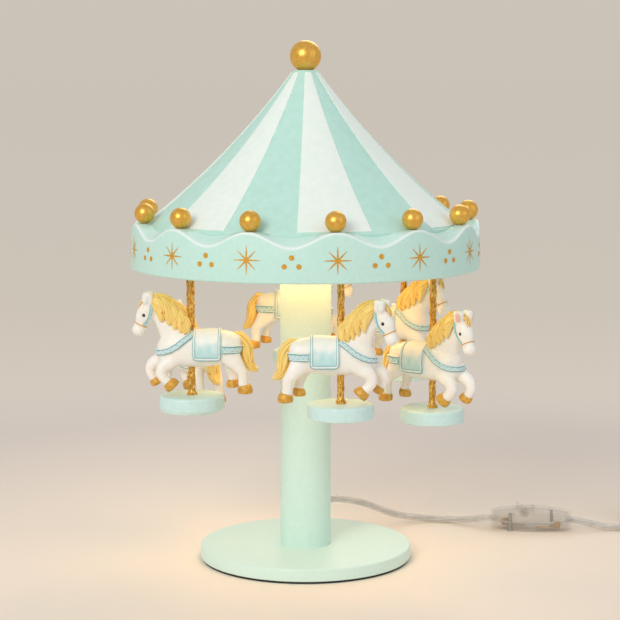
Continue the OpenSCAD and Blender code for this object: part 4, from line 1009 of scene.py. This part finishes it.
# Breast strap from the withers round the chest, and the crupper strap round the rump
breast_z = slope([(-0.5, 40.2), (4.9, 36.4), (9.5, 32.8), (14.2, 30.2), (18.5, 28.8), (24, 28)])
breast, breast_n = round_path(5, 0, np.radians(np.linspace(-128, 128, 90)), breast_z)
rump, rump_n = round_path(-21, 0, np.radians(np.linspace(90, 270, 60)), lambda x: 30.6)
aqua = Shape()
strap(aqua, breast, breast_n, 3.6, 0.8)
strap(aqua, rump, rump_n, 5.2, 0.7)
for path, n, half in ((breast, breast_n, 1.9), (rump, rump_n, 2.6)):
    strap(piping, path + n * 0.35, n, 0.9, 0.8, offset=half)
    strap(piping, path + n * 0.35, n, 0.6, 0.8, offset=-half + 0.7)
    strap(dark_line, path + n * 0.3, n, 0.5, 0.6, offset=-half)
    strap(dark_line, path + n * 0.4, n, 0.3, 0.6, offset=half - 0.75)
for path, n, swing in ((breast, breast_n, 0.9), (rump, rump_n, 1.3)):
    run = np.concatenate([[0], np.cumsum(np.linalg.norm(np.diff(path, axis=0), axis=1))])
    across = np.cross(n, np.gradient(path, axis=0))
    across /= np.linalg.norm(across, axis=1)[:, None]
    wave = path + across * (swing * np.sin(run * 1.9))[:, None] + n * 0.95
    piping.rod(wave, 0.3, around=6)

# Bridle: cheek straps, noseband; hooves, hair, eyes and inner ears
cheek_line = smooth_line([[26.2, 0, 60.2], [26.6, 0, 56], [28.2, 0, 50.6], [31.6, 0, 46.4]], 0.8)
for side in (1, -1):
    cheek, cheek_n = cast_path([(x, 25 * side, z) for x, _, z in cheek_line],
                               [(x, 0, z) for x, _, z in cheek_line])
    strap(aqua, cheek, cheek_n, 1.7, 0.6)
    strap(dark_line, cheek, cheek_n, 0.4, 0.5, offset=0.9)
gilt = Shape()
nose_at = Vector((34.2, 0, 46.6))
nose_a, nose_b = Vector((0, 1, 0)), Vector((0.899, 0, 0.438))
loop = [nose_at + 14 * (math.cos(a) * nose_a + math.sin(a) * nose_b) for a in np.linspace(0, 2 * math.pi, 49)]
band, band_n = cast_path(loop, [nose_at] * len(loop))
gilt.rod(band + band_n * 0.1, 0.36, around=6)
for hoof in HOOVES:
    gilt.loft(hoof, around=22, step=0.6)
eyes = Shape()
ear_inner = Shape()
for side in (1, -1):
    at, n = hit((31.6, 25 * side, 53.2), (31.6, 0, 53.2))
    eyes.ball(at - n * 0.25, (1.15, 1.3, 0.75), Vector(n).to_track_quat("Z", "Y").to_matrix(), around=16)
    at, n = hit((36, 24 * side, 64.4), (29.6, 3.6 * side, 64))
    ear_inner.ball(at - n * 0.2, (2.2, 3.3, 0.6), Vector(n).to_track_quat("Z", "Y").to_matrix(), around=16)
hair = Shape()
hair.loft(HORSE_TAIL, around=20)
strands(hair, HORSE_TAIL, 11, 1.25, swing=0.3)
for y in (0, 1.4, -1.4):
    forelock = smooth_line([[28, y * 0.6, 64.6], [31.4, y, 64.2], [34, y * 1.2, 61.4],
                            [35.6 - abs(y) * 0.3, y * 1.1, 57.6]], 0.8)
    hair.rod(forelock, np.linspace(1.0, 0.25, len(forelock)), around=8)


def mane(tips):
    """The crest of the mane with its strands, and the locks down to the given tips on both sides."""
    made = Shape()
    made.loft(MANE_CREST, around=20)
    strands(made, MANE_CREST, 9, 1.0, swing=0.2, seed=3)
    for side in (1, -1):
        for k, (root, tip) in enumerate(zip(LOCK_ROOTS, tips)):
            lock = mane_lock(root, tip)
            made.both_sides(side, lambda: (made.loft(lock, around=16),
                                           strands(made, lock, 8, 0.8, swing=0.25, seed=k + (side > 0))))
    return made


def horse_place(tree):
    """Place on the horse before it was put on its pole, in metres, so that all six are painted alike."""
    return add_node(tree, "ShaderNodeAttribute", {"attribute_name": "horse_at"}).outputs["Vector"]


def paint_grain(tree, size_mm, detail=3):
    """Noise that stays with the horse, with features of about size_mm."""
    spread = add_node(tree, "ShaderNodeMapping", None,
                      {"Vector": horse_place(tree), "Scale": [1 / (size_mm * MM)] * 3})
    return add_node(tree, "ShaderNodeTexNoise", None,
                    {"Vector": spread.outputs[0], "Scale": 1.0, "Detail": detail}).outputs["Fac"]


def horse_paint(name, steps, colour_mm, relief_mm, rough, bump_mm, strength=1.0, **sockets):
    """A paint with one noise for its colour and one for its gloss and relief."""
    material, tree, shader = new_material(name, IOR=1.5, **sockets)
    tree.links.new(colour_steps(tree, paint_grain(tree, colour_mm), steps), shader.inputs["Base Color"])
    rough_and_bumpy(tree, shader, paint_grain(tree, relief_mm), rough[0], rough[1], bump_mm, strength)
    return material


# Cast resin, satin, with a faint uneven warm wash
resin_white = horse_paint("painted resin white", [(0.25, "#F8F0E0"), (0.75, "#FEFAF1")], 7, 1.2, (0.3, 0.48),
                          0.05, 0.6, Subsurface_Weight=0.15, Subsurface_Scale=0.004)
# Golden-yellow paint over modelled locks; ambient occlusion darkens the colour in the grooves, a painted shade
hair_paint, tree, shader = new_material("golden hair paint", IOR=1.5, Roughness=0.45)
# Painted shade: the occlusion of the grooves turns the colour darker orange
locks = add_node(tree, "ShaderNodeAmbientOcclusion", {"samples": 4}, {"Distance": 1.6 * MM})
tree.links.new(colour_steps(tree, locks.outputs["AO"], [(0.15, "#C87F16"), (0.5, "#F3BC45"), (0.9, "#FCDC82")]),
               shader.inputs["Base Color"])
rough_and_bumpy(tree, shader, paint_grain(tree, 0.9), 0.38, 0.55, 0.06)

# Gold paint on hooves and bridle, thin and slightly uneven
gold_paint = horse_paint("gold paint", [(0.3, "#C98E2B"), (0.7, "#E9B650")], 2.5, 2.5, (0.3, 0.5), 0.04,
                         Metallic=0.15)

# Aqua water-colour on the blanket, fading to white towards the spine
blanket_paint, tree, shader = new_material("aqua blanket paint", IOR=1.5, Roughness=0.4)
split = add_node(tree, "ShaderNodeSeparateXYZ", None, {0: horse_place(tree)})
cloud = add_node(tree, "ShaderNodeMath", {"operation": "MULTIPLY_ADD"},
                 {0: paint_grain(tree, 5, 2), 1: 0.016, 2: -0.007})
level = add_node(tree, "ShaderNodeMath", {"operation": "ADD"}, {0: split.outputs["Z"], 1: cloud.outputs[0]})
tone = add_node(tree, "ShaderNodeMapRange", None,
                {"Value": level.outputs[0], "From Min": 0.022, "From Max": 0.042})
tree.links.new(colour_steps(tree, tone.outputs["Result"], [(0.0, "#AFDDDD"), (0.4, "#C6E8E6"), (0.7, "#E9F5EF"),
                                                           (0.9, "#FAF8EE")]), shader.inputs["Base Color"])
# The other paints: straps, piping, the dark lines beside it, eyes and the inside of one horse's ears
aqua_paint = horse_paint("aqua strap paint", [(0.3, "#A2D5D6"), (0.7, "#C9E9E8")], 1.6, 1.6, (0.3, 0.5), 0.08)
piping_paint = horse_paint("white piping paint", [(0.3, "#E6F0EC"), (0.7, "#F8FBF8")], 1.5, 1.5, (0.3, 0.45),
                           0.03)
line_paint = horse_paint("dark aqua line paint", [(0.3, "#79AFB0"), (0.7, "#9AC6C4")], 1.5, 1, (0.35, 0.5),
                         0.02)
eye_paint = horse_paint("black eye enamel", [(0.3, "#0C0E12"), (0.7, "#1A1D22")], 0.6, 0.6, (0.12, 0.2), 0.01,
                        Coat_Weight=0.6)
pink_paint = horse_paint("pink ear paint", [(0.3, "#F0B09A"), (0.7, "#F8CBB8")], 1.4, 1, (0.35, 0.5), 0.03)


def horse_template(name, tips, ear_material):
    """All shapes of one horse joined into one piece, with each point's place kept as an attribute."""
    copy = bpy.data.objects.new(name, horse_body.data.copy())
    scene.collection.objects.link(copy)
    parts = [paint(copy, resin_white), paint(blanket.piece(name + "_blanket"), blanket_paint)]
    parts += [paint(shape.piece(name + "_part"), material) for shape, material in (
        (mane(tips), hair_paint), (hair, hair_paint), (gilt, gold_paint), (aqua, aqua_paint),
        (piping, piping_paint), (dark_line, line_paint), (eyes, eye_paint), (ear_inner, ear_material))]
    made = joined(name, parts)
    places = np.zeros(len(made.data.vertices) * 3)
    made.data.vertices.foreach_get("co", places)
    made.data.attributes.new("horse_at", "FLOAT_VECTOR", "POINT").data.foreach_set("vector", places)
    return made, places.reshape(-1, 3)


# Each horse: heading from +X, turn of the head, mirror image or not, full mane, colour in the ears
HORSES = [(0, -28, False, True, resin_white), (-40, -14, False, False, pink_paint),
          (-38, 0, False, True, resin_white), (0, 0, False, False, resin_white),
          (120, 0, False, False, resin_white), (180, 0, True, False, resin_white)]
hoof_gap = 1.2
# The turn of the head grows from the root of the neck (x, z) up this way and length, about an upright line
neck_root, neck_way, neck_length, twist_x = np.array([8, 34]), np.array([10, 18]), 20.6, 10
for i, (heading, head_turn, mirrored, full, ear_material) in enumerate(HORSES, 1):
    made, at = horse_template(f"carved_horse_{i}", FULL_TIPS if full else LOCK_TIPS, ear_material)
    up_neck = np.clip((at[:, [0, 2]] / MM - neck_root) @ neck_way / neck_length ** 2, 0, 1)
    turn = np.radians(head_turn) * up_neck * up_neck * (3 - 2 * up_neck)
    x, y = at[:, 0] - twist_x * MM, at[:, 1]
    x, y = x * np.cos(turn) - y * np.sin(turn) + twist_x * MM, x * np.sin(turn) + y * np.cos(turn)
    y = -y if mirrored else y
    h = math.radians(heading)
    low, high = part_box(f"horse_disc_{i}")
    px, py, pz = (low[0] + high[0]) / 2, (low[1] + high[1]) / 2, high[2]
    placed = np.column_stack([px + x * math.cos(h) - y * math.sin(h), py + x * math.sin(h) + y * math.cos(h),
                              pz + hoof_gap * MM + at[:, 2]])
    made.data.vertices.foreach_set("co", placed.ravel())
    if mirrored:
        made.data.flip_normals()
    made.data.update()
    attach(made, "carousel")
    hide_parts(f"horse_{i}")
bpy.data.objects.remove(horse_body)

# ------------------------------------------------------------------ switch and plug
# In-line rocker switch in two clear polycarbonate shells, with brass contacts and zinc screws
# inside, and a moulded clear PVC plug with two nickel-plated blades.

# Polycarbonate, polished in the mould
clear_shell = finish("clear polycarbonate", "#C4BDB2", "#D6D0C6", (0.04, 0.12), 9, 0.01, IOR=1.58, Alpha=0.2)
# Moulded PVC, clear with a soft surface
plug_pvc = finish("clear plug PVC", "#E8ECEC", "#F6F8F8", (0.1, 0.22), 5, 0.02, IOR=1.5, Alpha=0.6)
nickel = finish("nickel-plated brass", "#B9B4A8", "#D6D2C8", (0.16, 0.3), 1.2, 0.01, Metallic=1.0)


switch_low, switch_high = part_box("switch_lower_shell")
switch_x, switch_y = (switch_low[0] + switch_high[0]) / 2, (switch_low[1] + switch_high[1]) / 2
switch_turn, switch_half, switch_mid, crown = math.radians(-6), 0.0302, switch_high[2], 0.3


def crowned(piece):
    """Lets the height of a switch shell fall off towards both ends."""
    for v in piece.data.vertices:
        along = (v.co.x - switch_x) * math.cos(switch_turn) + (v.co.y - switch_y) * math.sin(switch_turn)
        v.co.z = switch_mid + (v.co.z - switch_mid) * (1 - crown * (along / switch_half) ** 2)
    return tidy_normals(piece)


lower_shell, upper_shell = (settle(crowned(rounded(node, 0.4)), "stand", "clear_shell", clear_shell, node)
                            for node in ("switch_lower_shell", "switch_upper_shell"))
rocker = settle(rounded("switch_rocker", 0.35), "rocker", "clear_shell", clear_shell, "switch_rocker")
contacts = settle(rounded("switch_contacts", 0.2), "stand", "hub_brass", brass, "switch_contacts")
dress(zinc, "switch_screws", "rocker_pin")


def in_switch(points):
    """Points given along, across and above the switch, placed where it lies."""
    c, sn = math.cos(switch_turn), math.sin(switch_turn)
    return [[switch_x / MM + x * c - y * sn, switch_y / MM + x * sn + y * c, z] for x, y, z in points]


# One core is cut and clamped to a terminal at each end, the other runs straight through
sleeves, clamps = Shape(), Shape()
sleeves.rod(smooth_line(in_switch([[-28, -1.1, 8], [-23, -1, 6.2], [-17, -0.4, 4.6], [0, 0, 4.2], [17, 0.4, 4.6],
                                   [23, 1, 6.2], [28, 1.1, 8]]), 1), core_r, around=14)
for end in (-1, 1):
    sleeves.rod(smooth_line(in_switch([[end * 28, -end * 1.1, 8], [end * 25.5, -end * 1.9, 7.6],
                                       [end * 23.4, -end * 3.2, 6.2], [end * 21, -end * 4, 5.2]]), 0.6),
                core_r, around=14)
    clamps.rod(in_switch([[end * 19.5, -end * 4, z] for z in (6.7, 6.8, 7.5, 7.6)]),
               [1.3, 1.6, 1.6, 1.2], around=20)
sleeves = settle(tidy_normals(sleeves.piece("core_sleeves")), "stand", "clear_pvc", tinned_core)
clamps = settle(tidy_normals(clamps.piece("clamp_screws")), "stand", "steel", zinc)
plug = settle(rounded("plug_body", 1.2), "stand", "plug_pvc", plug_pvc, "plug_body")
blades = settle(rounded("plug_pins", 0.35), "stand", "plug_nickel", nickel, "plug_pins")
